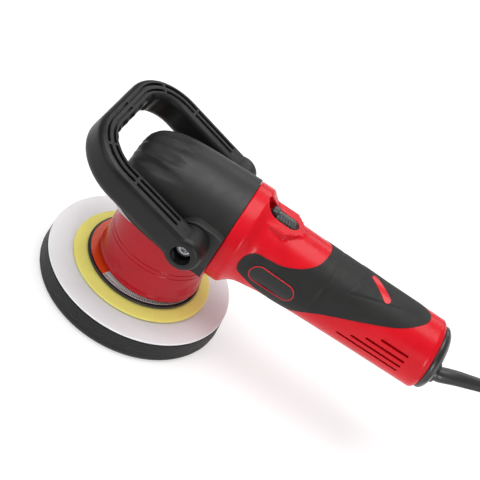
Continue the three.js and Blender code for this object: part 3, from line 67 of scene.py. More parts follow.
def smooth_value(table, at):
    """Value of a monotone cubic through the table's (place, value) pairs."""
    if at <= table[0][0]:
        return table[0][1]
    if at >= table[-1][0]:
        return table[-1][1]
    slopes = [(b[1] - a[1]) / (b[0] - a[0]) for a, b in zip(table, table[1:])]
    bends = [slopes[0]]
    for before, after in zip(slopes, slopes[1:]):
        bends.append(0.0 if before * after <= 0 else 2 * before * after / (before + after))
    bends.append(slopes[-1])
    k = max(i for i in range(len(slopes)) if table[i][0] <= at)
    wide = table[k + 1][0] - table[k][0]
    t = (at - table[k][0]) / wide
    rise = table[k + 1][1] - table[k][1]
    start, end = bends[k] * wide, bends[k + 1] * wide
    return table[k][1] + start * t + (3 * rise - 2 * start - end) * t * t + (start + end - 2 * rise) * t**3


def smooth_step(low, high, at):
    t = min(1.0, max(0.0, (at - low) / (high - low)))
    return t * t * (3 - 2 * t)


def smooth_max(a, b, blend):
    mix = max(0.0, min(1.0, 0.5 + 0.5 * (a - b) / blend))
    return b + (a - b) * mix + blend * mix * (1 - mix)


def spline(points, steps, closed=False):
    """Points of a centripetal Catmull-Rom curve, with steps to each span."""
    pts = [Vector(p) for p in points]
    count = len(pts)
    made = []
    for i in range(count if closed else count - 1):
        if closed:
            a, b, c, d = (pts[(i + k) % count] for k in (-1, 0, 1, 2))
        else:
            b, c = pts[i], pts[i + 1]
            a = pts[i - 1] if i else b * 2 - c
            d = pts[i + 2] if i + 2 < count else c * 2 - b
        ta = sqrt((b - a).length) or 1e-6
        tb = sqrt((c - b).length) or 1e-6
        tc = sqrt((d - c).length) or 1e-6
        leave = ((b - a) / ta - (c - a) / (ta + tb) + (c - b) / tb) * tb
        meet = ((c - b) / tb - (d - b) / (tb + tc) + (d - c) / tc) * tb
        for k in range(steps):
            t = k / steps
            made.append(
                b * (2 * t**3 - 3 * t * t + 1) + leave * (t**3 - 2 * t * t + t)
                + c * (3 * t * t - 2 * t**3) + meet * (t**3 - t * t)
            )
    if not closed:
        made.append(pts[-1].copy())
    return made


def eased(corners, ease, steps=4):
    """A polyline with each inner corner rounded off by up to ease."""
    made = [corners[0]]
    for before, corner, after in zip(corners, corners[1:], corners[2:]):
        here = Vector(corner)
        back, on = Vector(before) - here, Vector(after) - here
        reach = min(ease, 0.45 * back.length, 0.45 * on.length)
        start, end = here + back.normalized() * reach, here + on.normalized() * reach
        for k in range(steps + 1):
            t = k / steps
            made.append(tuple(start * (1 - t) ** 2 + here * (2 * t * (1 - t)) + end * t * t))
    made.append(corners[-1])
    return made


def stadium(length, width, turn=0.0, centre=(0.0, 0.0), steps=14):
    """Outline of a slot with round ends, turned about its centre."""
    reach = (length - width) / 2
    made = []
    for end in (1, -1):
        for k in range(steps + 1):
            angle = (k / steps - 0.5) * pi + (0 if end > 0 else pi)
            x, y = end * reach + width / 2 * cos(angle), width / 2 * sin(angle)
            made.append((centre[0] + x * cos(turn) - y * sin(turn), centre[1] + x * sin(turn) + y * cos(turn)))
    return made


# ---- meshes ----


def sheet_mesh(across, along, place):
    """A grid of faces, each corner set by place(u, v) with u and v from 0 to 1, its doubles merged."""
    bm = bmesh.new()
    bmesh.ops.create_grid(bm, x_segments=across, y_segments=along, size=0.5)
    for vert in bm.verts:
        vert.co = place(vert.co.x + 0.5, vert.co.y + 0.5)
    bmesh.ops.remove_doubles(bm, verts=bm.verts, dist=0.002)
    bmesh.ops.recalc_face_normals(bm, faces=bm.faces)
    return bm


AXES = {
    "x": Matrix(((0, 0, 1), (1, 0, 0), (0, 1, 0))),
    "y": Matrix(((0, 1, 0), (0, 0, 1), (1, 0, 0))),
    "z": Matrix.Identity(3),
}


def turned(profile, axis="z", centre=(0, 0, 0), steps=96):
    """A profile of (radius, along) pairs spun once round an axis."""
    bm = bmesh.new()
    closed = profile[0] == profile[-1]
    points = profile[:-1] if closed else profile
    verts = [bm.verts.new((radius, 0, along)) for radius, along in points]
    edges = [bm.edges.new(pair) for pair in zip(verts, verts[1:] + (verts[:1] if closed else []))]
    bmesh.ops.spin(
        bm, geom=verts + edges, cent=(0, 0, 0), axis=(0, 0, 1), angle=tau, steps=steps, use_merge=True
    )
    bmesh.ops.remove_doubles(bm, verts=bm.verts, dist=0.0005)
    bmesh.ops.recalc_face_normals(bm, faces=bm.faces)
    bmesh.ops.transform(bm, matrix=Matrix.Translation(centre) @ AXES[axis].to_4x4(), verts=bm.verts)
    return bm


def block(low, high, edge=0.0, steps=3):
    """A box between two corners, its edges rounded by edge."""
    bm = bmesh.new()
    bmesh.ops.create_cube(bm, size=1)
    size = [b - a for a, b in zip(low, high)]
    middle = [(a + b) / 2 for a, b in zip(low, high)]
    bmesh.ops.scale(bm, vec=size, verts=bm.verts)
    bmesh.ops.translate(bm, vec=middle, verts=bm.verts)
    if edge:
        round_edges(bm, list(bm.edges), edge, steps)
    return bm


def round_edges(bm, edges, width, steps=3):
    bmesh.ops.bevel(
        bm, geom=edges, offset=width, segments=steps, profile=0.5, affect="EDGES", clamp_overlap=True, material=-1
    )


def prism(outline, depth, edge=0.0, steps=3):
    """An outline in the plane of X and Y, raised by depth, its rims rounded by edge."""
    bm = bmesh.new()
    face = bm.faces.new([bm.verts.new((x, y, 0)) for x, y in outline])
    raised = bmesh.ops.extrude_face_region(bm, geom=[face])
    bmesh.ops.translate(bm, vec=(0, 0, depth), verts=[v for v in raised["geom"] if isinstance(v, bmesh.types.BMVert)])
    bmesh.ops.recalc_face_normals(bm, faces=bm.faces)
    if edge:
        rims = [e for e in bm.edges if abs(e.verts[0].co.z - e.verts[1].co.z) < 1e-6]
        round_edges(bm, rims, edge, steps)
    return bm


def joined(first, *others):
    """Adds the other meshes to the first, each still a shell of its own."""
    for other in others:
        spare = bpy.data.meshes.new("spare")
        other.to_mesh(spare)
        first.from_mesh(spare)
        other.free()
        bpy.data.meshes.remove(spare)
    return first


def mirrored(bm):
    """The same mesh on the other side of the plane of X and Z, facing outwards."""
    bmesh.ops.scale(bm, vec=(1, -1, 1), verts=bm.verts)
    bmesh.ops.reverse_faces(bm, faces=bm.faces)
    return bm


def swept(line, radius_at, sides=20, closed=False):
    """A round tube along a line of points, its radius set by the share of the way along."""
    line = [Vector(p) for p in line]
    if closed:
        line = [line[-1], *line, line[0]]
    shares = [0.0]
    for a, b in zip(line, line[1:]):
        shares.append(shares[-1] + (b - a).length)
    total = shares[-1]
    rings = []
    side = None
    for i, here in enumerate(line):
        along = (line[min(i + 1, len(line) - 1)] - line[max(i - 1, 0)]).normalized()
        side = along.orthogonal().normalized() if side is None else (side - along * side.dot(along)).normalized()
        rings.append((here, side.copy(), along.cross(side), radius_at(shares[i] / total)))
    if closed:
        rings = [*rings[1:-1], rings[1]]

    def place(u, v):
        here, one, two, radius = rings[round(v * (len(rings) - 1))]
        return here + one * (radius * cos(tau * u)) + two * (radius * sin(tau * u))

    bm = sheet_mesh(sides, len(rings) - 1, place)
    if not closed:
        bmesh.ops.holes_fill(bm, edges=[e for e in bm.edges if e.is_boundary])
        bmesh.ops.recalc_face_normals(bm, faces=bm.faces)
    return bm


def distance_to(outline, points):
    """Signed distance from each point to a closed outline, negative inside, and the nearest places on it."""
    line = numpy.array(outline, float)
    ahead = numpy.roll(line, -1, axis=0)
    best = numpy.full(len(points), 1e9)
    near = numpy.zeros((len(points), 2))
    inside = numpy.zeros(len(points), bool)
    for a, b in zip(line, ahead):
        along = b - a
        size = along @ along
        if size < 1e-12:
            continue
        t = numpy.clip(((points - a) @ along) / size, 0, 1)
        spot = a + t[:, None] * along
        far = numpy.hypot(*(points - spot).T)
        closer = far < best
        best[closer], near[closer] = far[closer], spot[closer]
        if a[1] != b[1]:
            crosses = (a[1] > points[:, 1]) != (b[1] > points[:, 1])
            inside ^= crosses & (points[:, 0] < a[0] + (points[:, 1] - a[1]) * along[0] / along[1])
    return numpy.where(inside, -best, best), near


def trimmed(outline, low, high, cell, place):
    """A skin over the part of a flat grid inside an outline, its rim drawn onto the outline, then wrapped by place."""
    across, along = (ceil((b - a) / cell) for a, b in zip(low, high))
    bm = bmesh.new()
    bmesh.ops.create_grid(bm, x_segments=across, y_segments=along, size=0.5)
    for vert in bm.verts:
        vert.co.x = low[0] + (vert.co.x + 0.5) * (high[0] - low[0])
        vert.co.y = low[1] + (vert.co.y + 0.5) * (high[1] - low[1])
    bm.verts.ensure_lookup_table()
    flat = numpy.array([(v.co.x, v.co.y) for v in bm.verts])
    far = distance_to(outline, flat)[0]
    doomed = [f for f in bm.faces if sum(far[v.index] for v in f.verts) > 0.1 * cell]
    bmesh.ops.delete(bm, geom=doomed, context="FACES")
    bm.verts.index_update()
    rim = list({v for e in bm.edges if e.is_boundary for v in e.verts})
    spots = distance_to(outline, numpy.array([(v.co.x, v.co.y) for v in rim]))[1]
    for vert, spot in zip(rim, spots):
        on_edge = abs(vert.co.y - low[1]) < 1e-5 and abs(spot[1] - low[1]) < 1.5 * cell
        vert.co.x = spot[0]
        vert.co.y = low[1] if on_edge else spot[1]
    for _ in range(3):
        inner = [v for v in bm.verts if not v.is_boundary]
        bmesh.ops.smooth_vert(bm, verts=inner, factor=0.4, use_axis_x=True, use_axis_y=True)
    for vert in bm.verts:
        vert.co = place(vert.co.x, vert.co.y)
    bmesh.ops.recalc_face_normals(bm, faces=bm.faces)
    return bm


def thickened(bm, depth):
    """Gives an open skin a wall of that depth on its inner side."""
    bmesh.ops.recalc_face_normals(bm, faces=bm.faces)
    bmesh.ops.solidify(bm, geom=list(bm.faces), thickness=depth)
    bmesh.ops.recalc_face_normals(bm, faces=bm.faces)
    return bm


# ---- pieces ----


def laid(name, bm, body, finish, nodes=(), angle=35.0, smooth=True):
    """Turns a mesh in millimetres into a finished piece that rides on a body and stands for the named nodes."""
    bmesh.ops.scale(bm, vec=(MM, MM, MM), verts=bm.verts)
    mesh = bpy.data.meshes.new(name)
    bm.to_mesh(mesh)
    bm.free()
    mesh.materials.append(finish)
    if smooth:
        mesh.shade_smooth()
        mesh.set_sharp_from_angle(angle=radians(angle))
    piece = bpy.data.objects.new(name, mesh)
    bpy.context.scene.collection.objects.link(piece)
    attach(piece, body)
    if nodes:
        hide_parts(*nodes)
    return piece


def spare_object(bm):
    mesh = bpy.data.meshes.new("spare")
    bm.to_mesh(mesh)
    bm.free()
    made = bpy.data.objects.new("spare", mesh)
    bpy.context.scene.collection.objects.link(made)
    return made


def combined(bm, others, way="DIFFERENCE"):
    """A mesh with others cut from it, or joined into it, as one closed surface."""
    target = spare_object(bm)
    tools = [spare_object(other) for other in others]
    for tool in tools:
        step = target.modifiers.new("combine", "BOOLEAN")
        step.operation = way
        step.solver = "EXACT"
        step.object = tool
    seen = target.evaluated_get(bpy.context.evaluated_depsgraph_get())
    made = bmesh.new()
    made.from_mesh(seen.to_mesh())
    seen.to_mesh_clear()
    for piece in [target, *tools]:
        mesh = piece.data
        bpy.data.objects.remove(piece)
        bpy.data.meshes.remove(mesh)
    bmesh.ops.remove_doubles(made, verts=made.verts, dist=0.0005)
    bmesh.ops.dissolve_degenerate(made, dist=0.0005, edges=made.edges)
    return made


# ---- shader helpers ----


def node(tree, kind, sockets=None, **settings):
    """A shader node with its settings, and its inputs set to values or joined to other nodes' outputs."""
    made = tree.nodes.new(kind)
    for name, value in settings.items():
        setattr(made, name, value)
    for name, value in (sockets or {}).items():
        socket = made.inputs[name]
        if isinstance(value, bpy.types.NodeSocket):
            tree.links.new(value, socket)
        else:
            socket.default_value = value
    return made


def reckon(tree, operation, *values):
    return node(tree, "ShaderNodeMath", dict(enumerate(values)), operation=operation).outputs[0]


def remap(tree, value, low, high, to_low, to_high):
    sockets = {"Value": value, "From Min": low, "From Max": high, "To Min": to_low, "To Max": to_high}
    return node(tree, "ShaderNodeMapRange", sockets, clamp=True).outputs["Result"]


def blended(tree, share, one, other):
    """Colour between one and other by share."""
    made = node(tree, "ShaderNodeMix", data_type="RGBA")
    for key, value in (("Factor_Float", share), ("A_Color", one), ("B_Color", other)):
        socket = next(s for s in made.inputs if s.identifier == key)
        if isinstance(value, bpy.types.NodeSocket):
            tree.links.new(value, socket)
        elif key == "Factor_Float":
            socket.default_value = value
        else:
            socket.default_value = (*value[:3], 1.0)
    return next(s for s in made.outputs if s.identifier == "Result_Color")


def speckle(tree, vector, scale, detail=3.0, rough=0.55, warp=0.0):
    sockets = {"Vector": vector, "Scale": scale, "Detail": detail, "Roughness": rough, "Distortion": warp}
    return node(tree, "ShaderNodeTexNoise", sockets).outputs["Fac"]


def cells(tree, vector, scale, feature="F1"):
    made = node(tree, "ShaderNodeTexVoronoi", {"Vector": vector, "Scale": scale}, feature=feature)
    return made.outputs["Distance"]


def effect(name, inputs, outputs, build):
    """A node group made once: build gets its tree and its inputs and gives its outputs by name."""
    if name in bpy.data.node_groups:
        return bpy.data.node_groups[name]
    tree = bpy.data.node_groups.new(name, "ShaderNodeTree")
    for key, kind, value in inputs:
        socket = tree.interface.new_socket(name=key, in_out="INPUT", socket_type=kind)
        if value is not None:
            socket.default_value = value
    for key in outputs:
        tree.interface.new_socket(name=key, in_out="OUTPUT", socket_type="NodeSocketFloat")
    given = tree.nodes.new("NodeGroupInput")
    result = tree.nodes.new("NodeGroupOutput")
    for key, value in build(tree, given.outputs).items():
        tree.links.new(value, result.inputs[key])
    return tree


VECTOR = ("Vector", "NodeSocketVector", None)


def moulded_grain():
    """Fine pits and pimples of a moulded skin, with slow changes of shade and gloss."""

    def build(tree, given):
        fine = speckle(tree, given["Vector"], given["Fineness"], 4.0, 0.6)
        pits = cells(tree, given["Vector"], given["Fineness"])
        height = reckon(tree, "MULTIPLY_ADD", pits, 0.45, reckon(tree, "MULTIPLY", fine, 0.55))
        broad = speckle(tree, given["Vector"], given["Breadth"], 3.0, 0.5)
        smear = speckle(tree, given["Vector"], reckon(tree, "MULTIPLY", given["Breadth"], 4.0), 6.0, 0.65, 0.6)
        return {
            "Height": height,
            "Shade": remap(tree, broad, 0.3, 0.7, 0.0, 1.0),
            "Gloss": remap(tree, smear, 0.32, 0.68, 0.0, 1.0),
        }

    inputs = [VECTOR, ("Fineness", "NodeSocketFloat", 2200.0), ("Breadth", "NodeSocketFloat", 22.0)]
    return effect("Moulded grain", inputs, ("Height", "Shade", "Gloss"), build)


def handling_scuffs():
    """Sparse fine scratches that cross each other."""

    def build(tree, given):
        marks = []
        for turn, stretch in ((0.5, (1.0, 14.0, 14.0)), (-0.9, (12.0, 1.0, 12.0))):
            placed = node(
                tree, "ShaderNodeMapping",
                {"Vector": given["Vector"], "Rotation": (turn, turn * 0.4, turn), "Scale": stretch},
            ).outputs["Vector"]
            line = speckle(tree, placed, given["Scale"], 2.0, 0.4, 0.3)
            marks.append(remap(tree, line, 0.68, 0.76, 0.0, 1.0))
        patch = remap(tree, speckle(tree, given["Vector"], 30.0, 2.0), 0.48, 0.62, 0.0, 1.0)
        mask = reckon(tree, "MULTIPLY", reckon(tree, "MAXIMUM", *marks), patch)
        return {"Mask": mask}

    return effect("Handling scuffs", [VECTOR, ("Scale", "NodeSocketFloat", 60.0)], ("Mask",), build)


def edge_wear_and_highlight_mask():
    """Where an outer edge is lighter: rubbed wear together with a painted edge highlight."""

    def build(tree, given):
        # Pointiness picks out convex edges, which get lightened: a painted edge highlight as well as rubbed wear.
        edge = node(tree, "ShaderNodeNewGeometry").outputs["Pointiness"]
        sharp = remap(tree, edge, given["From"], reckon(tree, "ADD", given["From"], 0.06), 0.0, 1.0)
        ragged = remap(tree, speckle(tree, given["Vector"], 160.0, 5.0, 0.6), 0.4, 0.62, 0.0, 1.0)
        return {"Mask": reckon(tree, "MULTIPLY", sharp, ragged)}

    return effect("Edge wear and highlight", [VECTOR, ("From", "NodeSocketFloat", 0.53)], ("Mask",), build)


def settled_dust():
    """Pale dust that gathers on what faces up, in soft clouds."""

    def build(tree, given):
        facing = node(tree, "ShaderNodeSeparateXYZ", {0: node(tree, "ShaderNodeNewGeometry").outputs["Normal"]})
        up = remap(tree, facing.outputs["Z"], 0.2, 1.0, 0.0, 1.0)
        cloud = remap(tree, speckle(tree, given["Vector"], 45.0, 6.0, 0.7), 0.42, 0.75, 0.0, 1.0)
        return {"Mask": reckon(tree, "MULTIPLY", up, cloud)}

    return effect("Settled dust", [VECTOR], ("Mask",), build)


def turning_marks():
    """Fine rings left by a lathe round the Z axis of the vector it is given."""

    def build(tree, given):
        apart = node(tree, "ShaderNodeSeparateXYZ", {0: given["Vector"]}).outputs
        across = reckon(tree, "SQRT", reckon(
            tree, "ADD", reckon(tree, "MULTIPLY", apart["X"], apart["X"]),
            reckon(tree, "MULTIPLY", apart["Y"], apart["Y"]),
        ))
        path = reckon(tree, "ADD", across, apart["Z"])
        fine = node(
            tree, "ShaderNodeTexNoise",
            {"W": reckon(tree, "MULTIPLY", path, given["Fineness"]), "Scale": 1.0, "Detail": 3.0},
            noise_dimensions="1D",
        ).outputs["Fac"]
        stain = speckle(tree, given["Vector"], 90.0, 4.0, 0.6)
        return {"Height": fine, "Shade": stain, "Gloss": remap(tree, fine, 0.3, 0.7, 0.0, 1.0)}

    inputs = [VECTOR, ("Fineness", "NodeSocketFloat", 5000.0)]
    return effect("Turning marks", inputs, ("Height", "Shade", "Gloss"), build)


def foam_cells():
    """Open cells of two sizes, with painted shade darkening their pores."""

    def build(tree, given):
        large = remap(tree, cells(tree, given["Vector"], given["Fineness"]), 0.05, 0.62, 0.0, 1.0)
        scale = reckon(tree, "MULTIPLY", given["Fineness"], 2.3)
        small = remap(tree, cells(tree, given["Vector"], scale), 0.05, 0.6, 0.0, 1.0)
        height = reckon(tree, "MULTIPLY_ADD", small, 0.35, reckon(tree, "MULTIPLY", large, 0.65))
        broad = speckle(tree, given["Vector"], 35.0, 3.0, 0.5)
        # Shade follows the cells' height, so the pores are darker: painted shade in the hollows, mixed with broad
        # random tone.
        return {"Height": height, "Shade": reckon(tree, "MULTIPLY", height, broad), "Gloss": broad}

    inputs = [VECTOR, ("Fineness", "NodeSocketFloat", 700.0)]
    return effect("Foam cells", inputs, ("Height", "Shade", "Gloss"), build)


def brushed_loops():
    """Short loops of a napped cloth, lying in drifts, with painted shade darkening the hollows between loops."""

    def build(tree, given):
        drift = node(tree, "ShaderNodeTexNoise", {"Vector": given["Vector"], "Scale": 60.0, "Detail": 2.0})
        bent = node(
            tree, "ShaderNodeVectorMath",
            {0: drift.outputs["Color"], 1: (0.004, 0.004, 0.004), 2: given["Vector"]}, operation="MULTIPLY_ADD",
        ).outputs["Vector"]
        loop = remap(tree, cells(tree, bent, given["Fineness"]), 0.0, 0.7, 1.0, 0.0)
        hair = speckle(tree, bent, reckon(tree, "MULTIPLY", given["Fineness"], 1.7), 5.0, 0.7, 1.2)
        height = reckon(tree, "MULTIPLY_ADD", loop, 0.6, reckon(tree, "MULTIPLY", hair, 0.4))
        # Shade follows the loops' height, so the gaps between loops are darker: painted shade in the hollows, mixed
        # with random drift tone.
        return {"Height": height, "Shade": reckon(tree, "MULTIPLY", height, drift.outputs["Fac"]), "Gloss": hair}

    inputs = [VECTOR, ("Fineness", "NodeSocketFloat", 1300.0)]
    return effect("Brushed loops", inputs, ("Height", "Shade", "Gloss"), build)


def placed(tree, centre=(0.0, 0.0, 0.0), turn=(0.0, 0.0, 0.0)):
    """Object coordinates moved so that a place in millimetres is the middle, then turned."""
    spot = node(tree, "ShaderNodeTexCoord").outputs["Object"]
    moved = node(
        tree, "ShaderNodeMapping", {"Vector": spot, "Location": [-c * MM for c in centre]}
    ).outputs["Vector"]
    return node(tree, "ShaderNodeMapping", {"Vector": moved, "Rotation": turn}).outputs["Vector"]


def finish(
    name, colour, roughness, metallic=0.0, pattern=moulded_grain, fineness=2200.0, depth=0.03, strength=0.35,
    shade=0.14, gloss=0.08, scuff=0.0, scuff_colour=(0.5, 0.5, 0.5), dust=0.0, edge_wear_and_highlight=0.0,
    edge_wear_and_highlight_colour=None, coat=0.0, coat_roughness=0.08, specular=0.5, sheen=0.0, tint=None, centre=(0, 0, 0),
    turn=(0, 0, 0),
):
    """A material whose grain, shade, gloss, scuffs, dust and rubbed edges with their painted edge highlight come from
    the shared effects.
    """
    if name in bpy.data.materials:
        return bpy.data.materials[name]
    made = bpy.data.materials.new(name)
    made.use_nodes = True
    tree = made.node_tree
    shader = tree.nodes["Principled BSDF"]
    spot = placed(tree, centre, turn)
    marks = node(tree, "ShaderNodeGroup", node_tree=pattern())
    tree.links.new(spot, marks.inputs["Vector"])
    marks.inputs["Fineness"].default_value = fineness
    base = tint(tree) if tint else tuple(colour)[:3]
    if tint:
        darker = node(tree, "ShaderNodeHueSaturation", {"Color": base, "Value": 1 - shade}).outputs["Color"]
        paler = base
    else:
        darker = [c * (1 - shade) for c in base]
        paler = [min(1.0, c * (1 + shade) + 0.02 * shade) for c in base]
    look = blended(tree, marks.outputs["Shade"], darker, paler)
    level = remap(tree, marks.outputs["Gloss"], 0.0, 1.0, max(0.02, roughness - gloss), min(1.0, roughness + gloss))
    if scuff:
        lines = node(tree, "ShaderNodeGroup", {"Vector": spot}, node_tree=handling_scuffs())
        share = reckon(tree, "MULTIPLY", lines.outputs["Mask"], scuff)
        look = blended(tree, share, look, scuff_colour)
        level = reckon(tree, "MULTIPLY_ADD", share, 0.35, level)
    # Lighter colour along sharp outer edges: rubbed wear together with a painted edge highlight.
    if edge_wear_and_highlight:
        wear_and_highlight = node(tree, "ShaderNodeGroup", {"Vector": spot}, node_tree=edge_wear_and_highlight_mask())
        share = reckon(tree, "MULTIPLY", wear_and_highlight.outputs["Mask"], edge_wear_and_highlight)
        look = blended(tree, share, look, edge_wear_and_highlight_colour or [min(1, c * 1.5 + 0.05) for c in tuple(colour)[:3]])
    if dust:
        fall = node(tree, "ShaderNodeGroup", {"Vector": spot}, node_tree=settled_dust())
        look = blended(tree, reckon(tree, "MULTIPLY", fall.outputs["Mask"], dust), look, (0.55, 0.53, 0.5))
    tree.links.new(look, shader.inputs["Base Color"])
    tree.links.new(level, shader.inputs["Roughness"])
    bump = node(
        tree, "ShaderNodeBump", {"Height": marks.outputs["Height"], "Strength": strength, "Distance": depth * MM}
    )
    tree.links.new(bump.outputs["Normal"], shader.inputs["Normal"])
    shader.inputs["Metallic"].default_value = metallic
    shader.inputs["Specular IOR Level"].default_value = specular
    shader.inputs["Coat Weight"].default_value = coat
    shader.inputs["Coat Roughness"].default_value = coat_roughness
    shader.inputs["Sheen Weight"].default_value = sheen
    return made


def label_colours(tree):
    """The plate's printed film: an orange-red field, a pale field with a row of ticks, and a black rim."""
    apart = node(tree, "ShaderNodeSeparateXYZ", {0: placed(tree, (PAD_X, 0, 0))}).outputs
    x, y = apart["X"], apart["Y"]
    radius = reckon(tree, "SQRT", reckon(tree, "ADD", reckon(tree, "MULTIPLY", x, x), reckon(tree, "MULTIPLY", y, y)))
    angle = reckon(tree, "ARCTAN2", y, x)
    reach = reckon(tree, "ABSOLUTE", reckon(tree, "ADD", angle, radians(LABEL_MIDDLE)))
    pale = reckon(tree, "LESS_THAN", reach, radians(LABEL_SPREAD))
    field = blended(tree, pale, tuple(colours().label_orange), (0.8, 0.8, 0.78))
    wave = reckon(tree, "SINE", reckon(tree, "MULTIPLY", angle, LABEL_TICK_COUNT))
    ticks = reckon(tree, "MULTIPLY", reckon(tree, "GREATER_THAN", wave, 0.1), pale)
    band = reckon(
        tree, "MULTIPLY", reckon(tree, "GREATER_THAN", radius, LABEL_TICKS[0] * MM),
        reckon(tree, "LESS_THAN", radius, LABEL_TICKS[1] * MM),
    )
    field = blended(tree, reckon(tree, "MULTIPLY", ticks, band), field, (0.02, 0.02, 0.02))
    return blended(tree, reckon(tree, "GREATER_THAN", radius, LABEL_RIM * MM), field, (0.012, 0.012, 0.012))


LABEL_MIDDLE = 55.0
LABEL_SPREAD = 61.0
LABEL_TICKS = (46.0, 48.2)
LABEL_TICK_COUNT = 210.0
LABEL_RIM = 48.9


def colours():
    return bpy.context.scene.polisher_colours


def sizes():
    return bpy.context.scene.polisher_sizes


def red_shell_finish():
    return finish(
        "Red shell plastic", colours().shell_red, 0.3, fineness=1500.0, depth=0.012, strength=0.25, shade=0.07,
        gloss=0.06, scuff=0.04, scuff_colour=(0.75, 0.2, 0.2), coat=0.05, coat_roughness=0.18,
        specular=0.16,
    )


def nose_finish():
    return finish(
        "Red nose paint", colours().nose_red, 0.22, fineness=700.0, depth=0.01, strength=0.2, shade=0.08, gloss=0.05,
        scuff=0.03, scuff_colour=(0.6, 0.2, 0.2), coat=0.3, coat_roughness=0.03, specular=0.12,
    )


def head_finish():
    return finish(
        "Black head plastic", colours().grip_black, 0.46, fineness=2600.0, depth=0.03, strength=0.35, shade=0.16,
        gloss=0.06, scuff=0.05, scuff_colour=(0.08, 0.08, 0.08), dust=0.006, specular=0.3,
    )


def grip_finish():
    return finish(
        "Soft grip rubber", colours().grip_black, 0.55, fineness=3000.0, depth=0.035, strength=0.4, shade=0.15,
        gloss=0.07, scuff=0.04, scuff_colour=(0.07, 0.07, 0.07), dust=0.006, specular=0.24,
    )


def handle_finish():
    return finish(
        "Handle rubber", colours().handle_black, 0.42, fineness=2400.0, depth=0.03, strength=0.32, shade=0.15,
        gloss=0.07, scuff=0.06, scuff_colour=(0.07, 0.07, 0.07), dust=0.006, edge_wear_and_highlight=0.1, specular=0.26,
    )


def black_trim_finish():
    return finish(
        "Black trim plastic", (0.018, 0.018, 0.018), 0.33, fineness=1800.0, depth=0.02, strength=0.3, shade=0.15,
        gloss=0.06, scuff=0.06, scuff_colour=(0.12, 0.12, 0.12), edge_wear_and_highlight=0.25, specular=0.5,
    )


def foam_finish():
    return finish(
        "Black polishing foam", colours().foam_black, 0.93, pattern=foam_cells, fineness=620.0, depth=0.5,
        strength=0.7, shade=0.45, gloss=0.05, sheen=0.15, specular=0.3,
    )


def loop_finish():
    return finish(
        "White loop cloth", colours().loop_white, 0.9, pattern=brushed_loops, fineness=1500.0, depth=0.25,
        strength=0.4, shade=0.1, gloss=0.06, sheen=0.4, specular=0.3,
    )


def cushion_finish():
    return finish(
        "Yellow cushion foam", colours().cushion_yellow, 0.6, pattern=foam_cells, fineness=1500.0, depth=0.08,
        strength=0.3, shade=0.14, gloss=0.08, sheen=0.1, specular=0.35,
    )


def label_finish():
    return finish(
        "Printed label film", (0.9, 0.2, 0.05), 0.25, fineness=900.0, depth=0.01, strength=0.2, shade=0.05,
        gloss=0.05, coat=0.4, coat_roughness=0.1, tint=label_colours,
    )


def cord_finish():
    return finish(
        "Cord jacket", (0.016, 0.016, 0.016), 0.38, fineness=1600.0, depth=0.03, strength=0.3, shade=0.18,
        gloss=0.07, scuff=0.04, scuff_colour=(0.1, 0.1, 0.1), dust=0.03, specular=0.5,
    )


def steel_finish(name="Turned steel", centre=(0, 0, 0), turn=(0, 0, 0), colour=(0.56, 0.56, 0.58), roughness=0.3):
    return finish(
        name, colour, roughness, metallic=1.0, pattern=turning_marks, fineness=4200.0, depth=0.01, strength=0.3,
        shade=0.12, gloss=0.08, scuff=0.1, scuff_colour=(0.75, 0.75, 0.76), centre=centre, turn=turn,
    )


# ---- camera, floor and lights ----

CAMERA_AXES = (
    (0.83484, -0.55032, -0.01386),
    (0.32512, 0.51323, -0.79427),
    (0.44421, 0.65858, 0.60738),
)


def build_camera():
    lens = bpy.data.cameras.new("camera")
    lens.lens = 79.58
    lens.sensor_width = 36
    camera = bpy.data.objects.new("camera", lens)
    bpy.context.scene.collection.objects.link(camera)
    camera.matrix_world = Matrix.Translation((0.04074, -0.67648, 0.62061)) @ Matrix(CAMERA_AXES).to_4x4()
    bpy.context.scene.camera = camera


def soft_light(name, spot, aim, size, watts):
    lamp = bpy.data.lights.new(name, "AREA")
    lamp.shape = "RECTANGLE"
    lamp.size, lamp.size_y = size
    lamp.energy = watts
    made = bpy.data.objects.new(name, lamp)
    bpy.context.scene.collection.objects.link(made)
    made.location = spot
    made.rotation_euler = (Vector(aim) - Vector(spot)).to_track_quat("-Z", "Y").to_euler()


FLOOR_REACH = 3000
FLOOR_Z = -0.4
FLOOR_GLOW = 0.55
WORLD_GLOW = 0.28
# Name, place and aim in metres, size in metres, and power in watts.
LIGHTS = (
    ("overhead", (0.0, 0.1, 1.5), (0.05, 0, 0.05), (1.3, 1.0), 22),
    ("left_key", (-0.9, -0.9, 1.0), (0.05, 0, 0.08), (0.7, 0.9), 5.5),
    ("rear_edge", (0.3, 1.2, 0.8), (0.05, 0, 0.1), (1.2, 0.5), 4),
    ("front_window", (0.62, -0.8, 0.26), (0.0, 0, 0.05), (0.22, 0.3), 3),
)


def build_stage():
    bm = bmesh.new()
    bmesh.ops.create_grid(bm, x_segments=4, y_segments=4, size=FLOOR_REACH)
    bmesh.ops.translate(bm, vec=(0, 0, FLOOR_Z), verts=bm.verts)
    bmesh.ops.scale(bm, vec=(MM, MM, MM), verts=bm.verts)
    mesh = bpy.data.meshes.new("floor")
    bm.to_mesh(mesh)
    bm.free()
    mesh.materials.append(finish(
        "Pale floor", (0.5, 0.5, 0.5), 0.8, fineness=400.0, depth=0.02, strength=0.1, shade=0.01, gloss=0.03,
        specular=0.1,
    ))
    glow = mesh.materials[0].node_tree.nodes["Principled BSDF"]
    glow.inputs["Emission Color"].default_value = (1, 1, 1, 1)
    glow.inputs["Emission Strength"].default_value = FLOOR_GLOW
    floor = bpy.data.objects.new("floor", mesh)
    bpy.context.scene.collection.objects.link(floor)
    world = bpy.data.worlds.new("studio")
    world.use_nodes = True
    world.node_tree.nodes["Background"].inputs["Color"].default_value = (1, 1, 1, 1)
    world.node_tree.nodes["Background"].inputs["Strength"].default_value = WORLD_GLOW
    bpy.context.scene.world = world
    bpy.context.scene.view_settings.view_transform = "Standard"
    for light in LIGHTS:
        soft_light(*light)


# ---- lead, coil and plug ----

